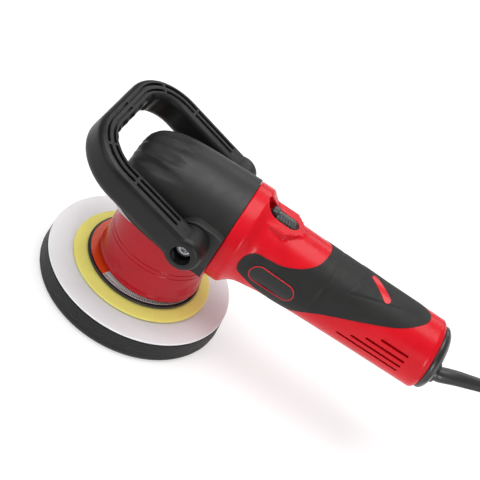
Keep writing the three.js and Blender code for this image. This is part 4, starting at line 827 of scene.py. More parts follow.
RELIEF_ROUTE = (
    (236, -1, 101), (243, -1, 101), (246, -0.8, 101.2), (252, 1.4, 102.2), (261.4, 5.7, 102.8), (271, 10.4, 102.5),
    (282.7, 17.3, 101), (294, 24.5, 98.2),
)
CORD_ROUTE = (
    (294.8, 25, 98), (304.5, 31.2, 94.6), (313.5, 37.5, 87), (321, 43.5, 76), (328, 48, 63.5), (334, 51.5, 50),
    (340, 54.2, 36), (347, 56.2, 23), (356, 57.4, 13), (366, 57.6, 7.4), (374, 57.2, 5.6),
)
LEAD_ROUTE = ((392, -57.2, 12.7), (379, -60.4, 11), (372, -61.8, 9.8), (364, -63.2, 9.2), (356.6, -64, 9))
PLUG_Y, PLUG_Z = -64, 9
COIL_X = 405.0
COIL_TURNS = 7.5
TURN_POINTS = 40
COIL_PITCH = 8
COIL_FLOOR = 5.2
LAYER_RADII = tuple(56 - COIL_PITCH * k for k in range(4))


def coil_route():
    """Inwards along the floor a turn at a time, up to a second layer, and out again to the widest turn."""
    made = []
    for k in range(1, int(COIL_TURNS * TURN_POINTS) + 1):
        turn, part = divmod(k / TURN_POINTS, 1)
        if turn < 4:
            radius = LAYER_RADII[int(turn)] - (COIL_PITCH * smooth_step(0.82, 1.0, part) if turn < 3 else 0)
        else:
            radius = LAYER_RADII[7 - int(turn)] + (COIL_PITCH * smooth_step(0.6, 0.78, part) if turn < 7 else 0)
        height = COIL_FLOOR + COIL_PITCH * (smooth_step(0.78, 1.0, part) if turn == 3 else turn > 3)
        angle = pi / 2 - tau * part
        made.append((COIL_X + radius * cos(angle), radius * sin(angle), height))
    return made


def build_cord():
    arriving = spline([*CORD_ROUTE, (390, 56.6, COIL_FLOOR), (COIL_X, LAYER_RADII[0], COIL_FLOOR)], 6)
    leaving = spline([(COIL_X, -LAYER_RADII[0], COIL_FLOOR + COIL_PITCH), *LEAD_ROUTE], 6)
    route = [Vector(p) * MM for p in [*arriving, *coil_route()[:-1], *leaving]]
    curve = bpy.data.curves.new("power_cord_run", "CURVE")
    curve.dimensions = "3D"
    curve.bevel_depth = CORD_DIAMETER / 2
    curve.bevel_resolution = 4
    curve.use_fill_caps = True
    line = curve.splines.new("POLY")
    line.points.add(len(route) - 1)
    for point, spot in zip(line.points, route):
        point.co = (*spot, 1)
    line.use_smooth = True
    curve.materials.append(cord_finish())
    cord = bpy.data.objects.new("power_cord_run", curve)
    bpy.context.scene.collection.objects.link(cord)
    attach(cord, "housing")
    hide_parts("power_cord", "cord_coil", "plug_lead")
    length = sum((b - a).length for a, b in zip(route, route[1:]))
    print("cord length", round(length, 4))
    plug = build_plug()


def rounded_box_ring(width, height, edge, steps=5):
    made = []
    for k, (sx, sy) in enumerate(((1, 1), (-1, 1), (-1, -1), (1, -1))):
        for i in range(steps + 1):
            angle = (k + i / steps) * pi / 2
            made.append((sx * (width / 2 - edge) + edge * cos(angle), sy * (height / 2 - edge) + edge * sin(angle)))
    return made


def lofted(rings, cap=True):
    """A closed skin through rings of points, each with as many points as the last."""
    count = len(rings[0])

    def place(u, v):
        return rings[round(v * (len(rings) - 1))][round(u * count) % count]

    bm = sheet_mesh(count, len(rings) - 1, place)
    if cap:
        bmesh.ops.holes_fill(bm, edges=[e for e in bm.edges if e.is_boundary])
        bmesh.ops.recalc_face_normals(bm, faces=bm.faces)
    return bm


def build_plug():
    stations = [
        (322.0, 22.0, 16.0), (322.6, 23.4, 17.4), (323.6, 24.0, 18.0), (333.0, 24.0, 18.0), (337.0, 23.4, 17.8),
    ]
    for k in range(4):
        x = 338.5 + k * 3.2
        wide = 22.0 - k * 2.0
        stations += [(x, wide, 17.2 - k), (x + 1.0, wide - 0.2, 17.0 - k), (x + 1.5, wide - 2.2, 15.0 - k),
                     (x + 2.4, wide - 2.4, 14.8 - k)]
    stations += [(351.8, 14.4, 13.0), (355.4, 12.6, 12.2), (356.2, 11.0, 10.6)]
    rings = [
        [(x, PLUG_Y + a, PLUG_Z + b) for a, b in rounded_box_ring(wide, tall, min(wide, tall) * 0.28)]
        for x, wide, tall in stations
    ]
    return laid("plug_grip", lofted(rings), "housing", cord_finish(), ["plug_body"], 40)


def build_relief():
    line = spline(RELIEF_ROUTE, 8)
    bm = swept(line, lambda share: 6.6 - 1.4 * max(0.0, share - 0.25) / 0.75, 28)
    laid("strain_relief_sleeve", bm, "housing", cord_finish(), ["strain_relief"], 40)


# ---- pad and plate ----


FOAM_RADIUS = 84
FOAM_TOP = 20


def build_pad():
    bead = sizes().foam_round / MM
    profile = eased(
        [(0, 0), (FOAM_RADIUS - 0.5 * bead, 0), (FOAM_RADIUS, bead), (83.5, 7), (83.1, 13), (82.6, FOAM_TOP - 0.6),
         (81.9, FOAM_TOP), (0, FOAM_TOP)], 1.2, 3
    )
    bm = turned(profile, "z", (PAD_X, 0, 0), 240)
    bmesh.ops.subdivide_edges(
        bm, edges=[e for e in bm.edges if abs(e.verts[0].co.z - e.verts[1].co.z) > 3], cuts=3
    )
    for vert in bm.verts:
        if 0.2 < vert.co.z < 19.6 and hypot(vert.co.x - PAD_X, vert.co.y) > 80:
            vert.co *= 1 + 0.0035 * noise.noise(vert.co * 0.35) * min(vert.co.z, 19.8 - vert.co.z) / 8
    foam = laid("foam_pad_body", bm, "pad", foam_finish(), ["foam_pad"], 50)
    profile = eased([(0, 20.3), (82.0, 20.3), (82.5, 21.0), (82.3, 22.3), (81.6, 22.5), (0, 22.5)], 0.6, 3)
    bm = turned(profile, "z", (PAD_X, 0, 0), 200)
    laid("loop_face_disc", bm, "pad", loop_finish(), ["pad_loop_face"], 50)
    profile = eased([(0, 22.8), (60, 22.8), (60, 23.6), (0, 23.6)], 0.2, 2)
    hooks = finish("Hook sheet", (0.02, 0.02, 0.02), 0.7, pattern=foam_cells, fineness=1400.0, depth=0.2, shade=0.3)
    laid("hook_disc", turned(profile, "z", (PAD_X, 0, 0), 120), "pad", hooks, ["hook_sheet"])
    profile = eased([(0, 23.9), (61.4, 23.9), (62, 24.4), (60.6, 25.3), (52.4, 27.9), (51.2, 27.9), (0, 27.9)], 0.5, 3)
    bm = turned(profile, "z", (PAD_X, 0, 0), 160)
    laid("cushion_ring", bm, "pad", cushion_finish(), ["plate_cushion"], 50)


def build_plate():
    profile = eased([
        (0, 28.2), (50.6, 28.2), (51.2, 28.8), (51.2, 30.0), (50.4, 30.8), (50.2, 30.4), (17.6, 30.4), (15.2, 30.6),
        (15, 34.4), (14.6, 34.6), (0, 34.6),
    ], 0.4, 3)
    bm = turned(profile, "z", (PAD_X, 0, 0), 140)
    plate = finish(
        "Plate rubber", (0.02, 0.02, 0.02), 0.5, fineness=1800.0, depth=0.04, shade=0.18, edge_wear_and_highlight=0.2, dust=0.03
    )
    laid("plate_body", bm, "pad", plate, ["backing_plate"], 40)
    film = turned([(16.2, 30.7), (50, 30.7), (50, 31.2), (16.2, 31.2), (16.2, 30.7)], "z", (PAD_X, 0, 0), 140)
    laid("printed_film", film, "pad", label_finish(), ["label_disc"], 30)


# ---- nose ----


NOSE_FOOT = 34
NOSE_HEIGHT = 42.5
NOSE_NARROWING = 0.11
NOSE_LEAN = 2.4
# Above STRETCH_FROM the whole nose, its hidden inside too, is stretched until its wall ends NOSE_OVERLAP over the
# head's lower edge.
STRETCH_FROM = 62
STRETCH_HEIGHT = 14.4
NOSE_OVERLAP = 13.5


def build_nose():
    outer = eased([
        (41.9, 34.2), (46.0, 34.0), (46.3, 36.4), (45.4, 39.0), (44.9, 44), (44.5, 57.6), (44.15, 58.1), (44.1, 61.4),
        (43.7, 61.9), (43.4, 76.3), (37.4, 76.5), (37.4, 81.9), (34.4, 81.9),
    ], 0.9, 4)
    inner = [(34.4, 70), (22, 70), (22, 81.8), (17.9, 81.8), (17.9, 70), (7.9, 70), (7.9, 66), (35.4, 66), (40.4, 62)]
    bm = turned([*outer, *inner, outer[0]], "z", (0, 0, 0), 180)
    for vert in bm.verts:
        rise = (vert.co.z - NOSE_FOOT) / NOSE_HEIGHT
        vert.co.y *= 1 - NOSE_NARROWING * rise
        vert.co.x -= NOSE_LEAN * rise
        if vert.co.z > STRETCH_FROM:
            tall = smooth_value(HEAD_FLOOR, vert.co.x) - STRETCH_FROM + NOSE_OVERLAP
            vert.co.z = STRETCH_FROM + (vert.co.z - STRETCH_FROM) * tall / STRETCH_HEIGHT
            vert.co.y *= 1 - 0.0006 * (vert.co.z - STRETCH_FROM)
    laid("nose_body", bm, "housing", nose_finish(), ["nose_casting"], 40)


# ---- head cover ----

HEAD = ((-54, 22.6), (-52, 27.8), (-47, 33.4), (-40, 37.2), (-30, 40.4), (-17, 42.3), (0, 43.2), (41.7, 44.2))
HEAD_FLOOR = ((-54, 100), (-50, 96.5), (-44, 93), (-36, 90.5), (-20, 87.5), (0, 85), (41.7, 82.5))
HEAD_FRONT = -54
ARCH = radians(105)
ARCH_SHARE = 0.78
FLUTE_PITCH = radians(18)
FLUTE_SPAN = 3.35
HEAD_WALL = 2.4


def flute_depth(x, angle):
    """How deep the scooped flutes over the front of the head are at a place and an angle from the top."""
    across = angle / FLUTE_PITCH
    if abs(across) > FLUTE_SPAN:
        return 0.0
    scoop = abs(sin(pi * across))
    reach = smooth_step(3, -38, x) * smooth_step(FLUTE_SPAN, 2.6, abs(across))
    return sizes().flute_depth / MM * max(0.0, scoop - 1.02 * (1 - reach)) * min(1.0, reach * 1.4)


def head_point(x, share):
    """A point of the head's skin, with share 0 at the left foot, 0.5 on top and 1 at the right foot."""
    radius = smooth_value(HEAD, x)
    floor = min(smooth_value(HEAD_FLOOR, x), MOTOR_Z - radius * 0.4)
    turn = 2 * share - 1
    side = -1 if turn < 0 else 1
    if abs(turn) <= ARCH_SHARE:
        angle = turn / ARCH_SHARE * ARCH
        r = radius - flute_depth(x, angle)
        return x, r * sin(angle), MOTOR_Z + r * cos(angle)
    t = (abs(turn) - ARCH_SHARE) / (1 - ARCH_SHARE)
    start = (radius * sin(ARCH), MOTOR_Z + radius * cos(ARCH))
    return x, side * (start[0] + (radius * 0.945 - start[0]) * t), start[1] + (floor - start[1]) * t


def build_head():
    stations = [HEAD_FRONT + 95.7 * (k / 88) ** 1.5 for k in range(89)]
    front = 10

    def place(u, v):
        k = round(v * (len(stations) - 1 + front)) - front
        if k >= 0:
            return head_point(stations[k], u)
        share = (front + k) / front
        x, y, z = head_point(stations[0], u)
        floor = smooth_value(HEAD_FLOOR, HEAD_FRONT)
        return x - 0.5 * (1 - share * share), y * share, floor + (z - floor) * share

    bm = thickened(sheet_mesh(150, len(stations) - 1 + front, place), HEAD_WALL)
    outline = [(41.5, 97.2)]
    for k in range(19):
        angle = -pi / 2 - pi * k / 18
        outline.append((21 + 16.5 * cos(angle), 113.7 + 16.5 * sin(angle)))
    outline += [(34, 129.6), (41.5, 128.2)]
    pads = []
    for way in (-1, 1):
        slab = prism(outline, 12.3, 1.3, 4)
        bmesh.ops.rotate(slab, cent=(0, 0, 0), matrix=Matrix.Rotation(pi / 2, 3, "X"), verts=slab.verts)
        bmesh.ops.translate(slab, vec=(0, -35, 0), verts=slab.verts)
        pads.append(slab if way < 0 else mirrored(slab))
    spigot = turned([(38.4, 39), (40.2, 39), (40.2, 46), (38.4, 46), (38.4, 39)], "x", (0, 0, MOTOR_Z), 96)
    laid("head_shell", joined(bm, spigot, *pads), "housing", head_finish(), ["head_cover"], 42)


# ---- body, boot and tail ----

BODY = (
    (42, 42.9), (42.5, 43.35), (43.2, 43.5), (53.2, 43.5), (54.8, 42.9), (57.5, 40.4), (62, 37), (67, 35.1),
    (76, 33.9), (90, 32.4), (150, 31), (200, 30.5), (226.2, 30.3),
)
UNROLL = 31.0


def body_radius(x):
    return smooth_value(BODY, x)


def axis_z(x):
    return MOTOR_Z + 0.8 * (x - 42) / 188


def slant(x):
    return 0.09 * max(0.0, (x - 200) / 30)


def body_point(x, angle, grow=0.0, radius=None):
    """A point of the body's skin at an angle from the top, towards +Y."""
    r = (body_radius(x) if radius is None else radius) + grow
    if 50 < x < 116 and abs(angle) < 1.1:
        fade = min(1.0, max(0.0, (x - 84) / 31))
        top = 34.0 - 2.2 * fade + grow
        corner = body_radius(x) + 5.2 * (1 - smooth_step(74, 101, x)) + grow
        side = min(17.3 + grow, sqrt(max(0.01, corner * corner - top * top)))
        slab = min(top / cos(angle), side / max(abs(sin(angle)), 0.05))
        r = smooth_max(r, slab, 1.2)
    up = r * cos(angle)
    return x - slant(x) * up, r * sin(angle), axis_z(x) + up


def along_y(bm, y):
    """Stands a prism up so that it runs from y outwards, towards +Y."""
    bmesh.ops.rotate(bm, cent=(0, 0, 0), matrix=Matrix.Rotation(pi / 2, 3, "X"), verts=bm.verts)
    bmesh.ops.scale(bm, vec=(1, -1, 1), verts=bm.verts)
    bmesh.ops.translate(bm, vec=(0, y, 0), verts=bm.verts)
    bmesh.ops.recalc_face_normals(bm, faces=bm.faces)
    return bm


SEAM_GAP = 0.12
SHELL_WALL = 3.2
VENT_WIDTH, VENT_DROP, VENT_STEP = 2.1, 5.7, 10.4
TRACK_X = 69.55
TRACK_SIZE = (32.1, 14)
TRACK_RIM = (36.1, 18)
SHELL_SCREWS = ((76, -29.5), (140, -25), (176, -19), (222, 19))


def shell_cuts(way):
    cuts = []
    rear = 211 if way < 0 else 200
    for k in range(4):
        start = 185.5 - VENT_STEP * k
        outline = stadium(rear - start, VENT_WIDTH, 0, ((rear + start) / 2, 120 - VENT_DROP * k), 6)
        cuts.append(along_y(prism(outline, 30), 16))
    if way > 0:
        cuts.append(block((205.6, 19, 108.2), (226.4, 45, 113.8)))
        for x, up in SHELL_SCREWS:
            cuts.append(turned([(0, 0), (3.4, 0), (3.4, 34), (0, 34)], "y", (x, 10.4, axis_z(x) + up), 32))
    track = prism(stadium(*TRACK_SIZE, 0, (TRACK_X, 0)), 14)
    bmesh.ops.translate(track, vec=(0, 0, MOTOR_Z + 30.6), verts=track.verts)
    return [*cuts, track]


def track_wall():
    """The wall round the switch track on the +Y side, which rises with the shoulder in front of it."""
    rim = stadium(*TRACK_RIM, 0, (TRACK_X, 0), 16)
    hole = stadium(*TRACK_SIZE, 0, (TRACK_X, 0), 16)
    bm = combined(prism(rim, 6), [prism(hole, 6.4)])
    bmesh.ops.bisect_plane(
        bm, geom=[*bm.verts, *bm.edges, *bm.faces], plane_co=(0, 0.15, 0), plane_no=(0, -1, 0), clear_outer=True
    )
    bmesh.ops.holes_fill(bm, edges=[e for e in bm.edges if e.is_boundary])
    for vert in bm.verts:
        if vert.co.z > 3:
            vert.co.z = 6 + 0.85 * max(0.0, 60.5 - vert.co.x)
    bmesh.ops.translate(bm, vec=(0, 0, MOTOR_Z + 27.6), verts=bm.verts)
    bmesh.ops.recalc_face_normals(bm, faces=bm.faces)
    return bm


def build_shells():
    stations = [42, 42.4, 42.9, 43.5] + [43.5 + 1.05 * k for k in range(1, 46)]
    stations += [90.75 + 2.05 * k for k in range(1, 66)] + [226, 228, 230]
    tail = {226: 30.3, 228: 29.2, 230: 26.8}
    for way, name in ((-1, "left"), (1, "right")):
        def place(u, v):
            x = stations[round(u * (len(stations) - 1))]
            radius = tail.get(x)
            seam = SEAM_GAP / UNROLL
            return body_point(x, seam + v * (pi - 2 * seam), 0, radius)

        bm = thickened(sheet_mesh(len(stations) - 1, 72, place), SHELL_WALL)
        bm = combined(bm, shell_cuts(way))
        inner = [block((53, 0.15, MOTOR_Z + 27.6), (89, 9.8, MOTOR_Z + 30.6)), track_wall()]
        if way > 0:
            for x, up in SHELL_SCREWS[2:]:
                end = sqrt(body_radius(x) ** 2 - (abs(up) + 4.4) ** 2) - 0.6
                well = [(1.8, 7.5), (4.4, 7.5), (4.4, end), (3.45, end), (3.45, 10.2), (1.8, 10.2), (1.8, 7.5)]
                inner.append(turned(well, "y", (x, 0, axis_z(x) + up), 32))
        bm = joined(bm, *inner)
        if way < 0:
            mirrored(bm)
        laid(f"body_shell_{name}", bm, "housing", red_shell_finish(), [f"shell_{name}"], 30)


BOOT_UPPER = (
    (60.5, 112), (62, 120.5), (68, 125.2), (78, 125.6), (89, 126), (100, 129.5), (108, 133.6), (114, 138), (117.5, 143),
)
BOOT_LOWER = (
    (212, 141.5), (205, 138.8), (190, 132.2), (171, 125.2), (152, 117.6), (134, 108.5), (121, 98), (112, 90),
    (101, 87.5), (88, 91), (73, 98.5), (63, 105), (60.5, 112),
)


def unrolled(x, z):
    """A place seen from the side, laid flat on the unrolled body."""
    share = (z - axis_z(x)) / body_radius(x)
    return x, UNROLL * atan2(sqrt(max(0.0, 1 - share * share)), share) if share < 1 else 0.0


def boot_place(x, across, grow=0.35):
    lift = grow
    front = x + 0.012 * across * across - 149.8
    side = 21 - (x - 149.5) * 0.32 - abs(across)
    panel = smooth_step(-0.6, 0.6, front) * smooth_step(-0.6, 0.6, side)
    edge = min(front, side) if min(front, side) > 0 else -hypot(min(front, 0.0), min(side, 0.0))
    lift += 0.3 * panel * smooth_step(206, 196, x)
    lift -= 0.35 * exp(-((edge / 0.7) ** 2)) * smooth_step(204, 192, x)
    lift -= 0.3 * exp(-(((x - 128.5 + 0.05 * abs(across)) / 1.2) ** 2))
    return body_point(x, across / UNROLL, lift)


def build_boot():
    upper = [tuple(p) for p in spline([(x, z, 0) for x, z in BOOT_UPPER], 10)]
    lower = [tuple(p) for p in spline([(x, z, 0) for x, z in BOOT_LOWER], 10)]
    outline = [unrolled(p[0], p[1]) for p in [*upper, *lower[:-1]]]
    crown = len(upper) - 1
    outline[crown] = (outline[crown][0], 0.0)
    outline.insert(crown + 1, (212.0, 0.0))
    half = trimmed(outline, (59.5, 0.0), (213.0, 76.0), 0.9, boot_place)
    other = half.copy()
    both = joined(half, mirrored(other))
    bmesh.ops.remove_doubles(both, verts=both.verts, dist=0.02)
    bm = thickened(both, 0.8)
    laid("grip_skin", bm, "housing", grip_finish(), ["grip_boot"], 42)


def side_place(grow):
    return lambda x, across: body_point(x, across / UNROLL, grow)


def build_badge():
    z = axis_z(91) - 1

    def ring(length, width):
        return [unrolled(x, h) for x, h in stadium(length, width, -0.07, (91, z), 20)]

    plate = thickened(trimmed(ring(42, 18), (68.0, 35.0), (114.0, 66.0), 1.0, side_place(0.6)), 0.6)
    enamel = finish(
        "Badge enamel", (0.012, 0.012, 0.012), 0.22, fineness=1200.0, depth=0.01, strength=0.2, shade=0.1, gloss=0.05,
        scuff=0.03, scuff_colour=(0.1, 0.1, 0.1), coat=0.1, coat_roughness=0.06, specular=0.25,
    )
    laid("badge_body", mirrored(plate), "housing", enamel, ["badge_plate"], 40)
    line = [Vector(side_place(0.62)(*p)) for p in ring(39.6, 15.6)]
    rim = swept(line, lambda share: 0.42, 10, closed=True)
    red = finish(
        "Red inlay enamel", colours().shell_red, 0.28, fineness=1200.0, depth=0.01, strength=0.2, shade=0.08,
        gloss=0.05, coat=0.1, coat_roughness=0.08, specular=0.25,
    )
    laid("badge_rim", mirrored(rim), "housing", red, [], 60)
    flat = stadium(26, 6, -0.7, (165.5, -3))
    outline = [(x, UNROLL * atan2(y, sqrt(body_radius(x) ** 2 - y * y))) for x, y in flat]
    stripe = trimmed(outline, (152.0, -18.0), (179.0, 12.0), 0.7, side_place(0.85))
    laid("palm_stripe", thickened(stripe, 0.5), "housing", red, ["palm_inlay"], 40)


TAIL_START = 230.3
TAIL_LENGTH = 9.9


def build_tail():
    shape = (
        (TAIL_START, 26.8), (231.2, 27.2), (232.6, 27.1), (234.4, 26.0), (236.4, 23.6), (238.0, 20.0),
        (239.2, 15.4), (239.9, 10.0), (240.2, 4.0),
    )
    rings = []
    for k in range(33):
        x = TAIL_START + TAIL_LENGTH * k / 32
        radius = smooth_value(shape, x)
        rings.append([
            (x - 0.09 * radius * cos(a), radius * sin(a), axis_z(230) + radius * cos(a))
            for a in (tau * i / 96 for i in range(96))
        ])
    bm = lofted(rings)
    collar = turned(eased([(6.4, 236), (9.4, 236), (9.2, 243.2), (6.9, 244.0), (6.4, 243.4), (6.4, 236)], 0.6, 3),
                    "x", (0, -1, 101), 48)
    laid("tail_dome", joined(bm, collar), "housing", black_trim_finish(), ["tail_cap"], 40)


# ---- switch and speed wheel ----


def build_switch():
    base = MOTOR_Z + 30.9
    slab = prism(stadium(26, 13, 0, (72, 0), 12), 3.4)
    bmesh.ops.translate(slab, vec=(0, 0, base), verts=slab.verts)
    top = max(slab.faces, key=lambda f: f.calc_center_median().z)
    bmesh.ops.inset_region(slab, faces=[top], thickness=1.1, depth=0)
    bmesh.ops.translate(slab, vec=(0, 0, -0.9), verts=top.verts)
    round_edges(slab, [e for e in slab.edges if abs(e.verts[0].co.z - e.verts[1].co.z) < 0.01
                       and min(v.co.z for v in e.verts) > base + 3.2], 0.35, 2)
    ribs = [
        block((x, -4.9, base + 2.2), (x + 1.25, 4.9, base + 3.5), 0.4, 2)
        for x in (68.4, 70.9, 73.4, 75.9, 78.4, 80.9)
    ]
    lug = block((60.2, -4.4, base + 1.5), (66.2, 4.4, base + 7.3), 1.5, 4)
    stem = block((70, -2, MOTOR_Z + 27.7), (76, 2, base + 1))
    bm = joined(slab, *ribs, lug, stem)
    laid("switch_thumb", bm, "switch_slide", black_trim_finish(), ["switch_knob"], 40)


DIAL_CENTRE = (216, 20.6, 111)


def build_dial():
    bm = turned(eased([(0, -5.5), (2, -5.5), (2, -2.5), (10.9, -2.5), (11.5, -1.9), (11.5, 1.9), (10.9, 2.5), (2, 2.5),
                       (2, 5.5), (0, 5.5)], 0.3, 2), "z", (0, 0, 0), 160)
    for vert in bm.verts:
        reach = hypot(vert.co.x, vert.co.y)
        if reach > 11.1:
            share = 1 - 0.028 * (0.5 + 0.5 * cos(40 * atan2(vert.co.y, vert.co.x)))
            vert.co.x *= share
            vert.co.y *= share
    bmesh.ops.translate(bm, vec=DIAL_CENTRE, verts=bm.verts)
    laid("speed_wheel", bm, "dial", black_trim_finish(), ["speed_dial"], 40)


# ---- front handle ----

FOOT = Vector((21, 0, 113.7))
TILT = radians(16)
REACH_WAY = Vector((-cos(TILT), 0, sin(TILT)))
UP_WAY = Vector((sin(TILT), 0, cos(TILT)))
HALF_SPAN = 59.2
REACH = 103.0
CORNER = 34.0
BAIL_DEPTH = 26.0
FINGER_PITCH = 13.5
FINGER_DEPTH = 2.6
CHANNEL_DEPTH = 2.6


def bail_station(run):
    """Centre, sideways way and share of the turn at a run along half of the bail, from a foot to the middle."""
    straight = REACH - CORNER
    bend = CORNER * pi / 2
    if run <= straight:
        return run, HALF_SPAN, 0.0
    if run <= straight + bend:
        angle = (run - straight) / CORNER
        return straight + CORNER * sin(angle), HALF_SPAN - CORNER + CORNER * cos(angle), angle
    return REACH, HALF_SPAN - CORNER - (run - straight - bend), pi / 2


def bail_section(wide, deep, channel):
    """Half of a handle section, from the middle of its top to the middle of its underside: (across, up)."""
    w, d = wide / 2, deep / 2
    top = [
        (0, d), (1.0, d), (1.5, d - 0.15), (1.75, d - 0.5 * channel), (1.9, d - channel), (3.1, d - channel),
        (4.3, d - channel), (4.45, d - 0.5 * channel), (4.7, d - 0.15), (5.2, d - 0.05),
    ]
    edge = 5.2
    for k in range(7):
        angle = pi / 2 - k / 6 * pi / 2
        top.append((w - edge + edge * cos(angle), d - 0.1 - edge + edge * sin(angle)))
    top += [(w, d * 0.3), (w, 0), (w, -d * 0.3)]
    edge = 7.5
    for k in range(8):
        angle = -k / 7 * pi / 2
        top.append((w - edge + edge * cos(angle), -d + edge + edge * sin(angle)))
    top.append((0, -d))
    return top


def build_handle():
    straight, bend = REACH - CORNER, CORNER * pi / 2
    half = straight + bend + HALF_SPAN - CORNER
    steps = 150
    bridges = (16.0, 62.0, straight + bend * 0.5, half + 0.01)
    rings = []
    for k in range(2 * steps + 1):
        run = half * k / steps
        way = -1 if run <= half else 1
        near = run if run <= half else 2 * half - run
        reach, across, angle = bail_station(near)
        share = angle / (pi / 2)
        wide = 21.2 - 4.2 * share
        shift = 0.7 + 0.8 * share
        open_at = min(abs(near - b) for b in bridges)
        channel = CHANNEL_DEPTH * smooth_step(1.0, 2.2, open_at) * smooth_step(18.0, 20.0, near)
        grip = FINGER_DEPTH * smooth_step(straight + bend * 0.45, straight + bend * 0.9, near)
        wave = grip * (0.5 - 0.5 * cos(tau * (near - half) / FINGER_PITCH))
        centre = FOOT + REACH_WAY * reach + Vector((0, way * across, 0))
        outward = Vector((0, way * cos(angle), 0)) + REACH_WAY * sin(angle)
        section = bail_section(wide, BAIL_DEPTH, channel)
        ring = [centre + outward * (a + shift) + UP_WAY * b for a, b in section]
        inner = []
        for a, b in reversed(section[1:-1]):
            push = wave * smooth_step(0.55, 1.0, a / (wide / 2))
            inner.append(centre - outward * (a - push - shift) + UP_WAY * b)
        rings.append(ring + inner)
    bail = lofted(rings)
    feet = []
    for way in (-1, 1):
        profile = eased(
            [(0, 47.6), (14.2, 47.6), (15, 48.4), (15, 66.5), (13.4, 69.6), (10.6, 70.5), (0, 70.5)], 2.2, 4
        )
        foot = turned(profile, "y", (FOOT.x, 0, FOOT.z), 72)
        feet.append(foot if way > 0 else mirrored(foot))
    bm = combined(bail, feet, "UNION")
    bores = []
    for way in (-1, 1):
        bore = turned([(0, 40), (4.3, 40), (4.3, 56.5), (8.2, 56.5), (8.2, 72), (0, 72)], "y", (FOOT.x, 0, FOOT.z), 64)
        bores.append(bore if way > 0 else mirrored(bore))
    bm = combined(bm, bores)
    laid("bail_handle", bm, "housing", handle_finish(), ["d_handle"], 38)
    for way, name in ((-1, "left"), (1, "right")):
        profile = eased([(0, 33), (4, 33), (4, 56.8), (6.1, 56.8), (6.5, 57.2), (6.5, 61.4), (6.1, 61.8), (3.1, 61.8),
                         (3.1, 58.8), (0, 58.8)], 0.25, 2)
        bolt = turned(profile, "y", (FOOT.x, 0, FOOT.z), 48)
        bolt = bolt if way > 0 else mirrored(bolt)
        steel = steel_finish("Handle bolt steel", (FOOT.x, 0, FOOT.z), (pi / 2, 0, 0))
        laid(f"handle_bolt_{name}", bolt, "housing", steel, [f"handle_screw_{name}"], 40)


# ---- inner parts and fasteners ----


def inner_finishes():
    return {
        "steel": steel_finish("Ground steel", (0, 0, 0)),
        "hub_iron": steel_finish("Grey iron", (PAD_X, 0, 0), colour=(0.3, 0.29, 0.28), roughness=0.5),
        "bearing_steel": steel_finish("Bearing steel", (0, 0, 0), colour=(0.68, 0.68, 0.7), roughness=0.2),
        "gear_steel": steel_finish("Gear steel", (0, 0, 0), colour=(0.42, 0.41, 0.4), roughness=0.36),
        "lamination": steel_finish(
            "Stacked laminations", (0, 0, MOTOR_Z), (0, pi / 2, 0), colour=(0.34, 0.34, 0.36), roughness=0.45
        ),
        "copper": steel_finish(
            "Enamelled copper", (0, 0, MOTOR_Z), (0, pi / 2, 0), colour=(0.72, 0.3, 0.14), roughness=0.32
        ),
        "brass": steel_finish("Brass", (0, -64, 9), (0, pi / 2, 0), colour=(0.78, 0.56, 0.25), roughness=0.28),
        "carbon": finish("Brush carbon", (0.03, 0.03, 0.032), 0.7, fineness=3200.0, depth=0.04, shade=0.25),
        "fan_plastic": finish("Fan plastic", (0.05, 0.05, 0.055), 0.5, fineness=1600.0, depth=0.02, shade=0.15),
        "cast_aluminium": finish(
            "Cast aluminium", (0.42, 0.43, 0.44), 0.5, metallic=1.0, fineness=1100.0, depth=0.05, shade=0.12
        ),
        "tie_rubber": finish("Tie rubber", (0.02, 0.02, 0.02), 0.6, fineness=2600.0, depth=0.03, shade=0.15, dust=0.04),
    }


def dress_inner_parts():
    kinds = inner_finishes()
    slots = {part["node"]: part["material_slot"] for part in frame["record"]["subparts"]}
    for name, part in frame["nodes"].items():
        if part.hide_render:
            continue
        part.data.materials.clear()
        part.data.materials.append(kinds[slots[name]])


# ---- settings ----


def colour_setting(name, description, default):
    return FloatVectorProperty(
        name=name, description=description, default=default, size=3, min=0.0, max=1.0, subtype="COLOR"
    )


class PolisherColours(bpy.types.PropertyGroup):
    """Colours of the polisher's finishes."""

    shell_red: colour_setting("Shell red", "Colour of the two body shells", (0.56, 0.004, 0.012))
    nose_red: colour_setting("Nose red", "Colour of the cast nose over the pad", (0.42, 0.002, 0.009))
    grip_black: colour_setting("Grip black", "Colour of the head cover and palm grip", (0.011, 0.011, 0.0105))
    handle_black: colour_setting("Handle black", "Colour of the front handle", (0.007, 0.007, 0.007))
    foam_black: colour_setting("Foam black", "Colour of the polishing foam", (0.012, 0.012, 0.012))
    loop_white: colour_setting("Loop white", "Colour of the pad's loop face", (0.86, 0.86, 0.88))
    cushion_yellow: colour_setting("Cushion yellow", "Colour of the plate's cushion", (0.98, 0.84, 0.2))
    label_orange: colour_setting("Film orange", "Colour of the plate's printed film", (0.92, 0.075, 0.012))


class PolisherSizes(bpy.types.PropertyGroup):
    """Sizes that shape the polisher's soft edges and scoops."""

    foam_round: FloatProperty(
        name="Foam rounding", description="Rounding of the foam pad's working edge", default=0.004, min=0.001,
        max=0.008, subtype="DISTANCE", unit="LENGTH",
    )
    flute_depth: FloatProperty(
        name="Flute depth", description="Depth of the scooped flutes over the head", default=0.0027, min=0.0,
        max=0.004, subtype="DISTANCE", unit="LENGTH",
    )


# ---- operators ----


class POLISHER_OT_camera(bpy.types.Operator):
    """Sets up the camera."""

    bl_idname = "polisher.camera"
    bl_label = "Camera"

    def execute(self, context):
        build_camera()
        return {"FINISHED"}


class POLISHER_OT_cord(bpy.types.Operator):
    """Lays the lead, its coil, its plug and the sleeve where it leaves the body."""

    bl_idname = "polisher.cord"
    bl_label = "Lead and plug"

    def execute(self, context):
        build_cord()
        build_relief()
        return {"FINISHED"}


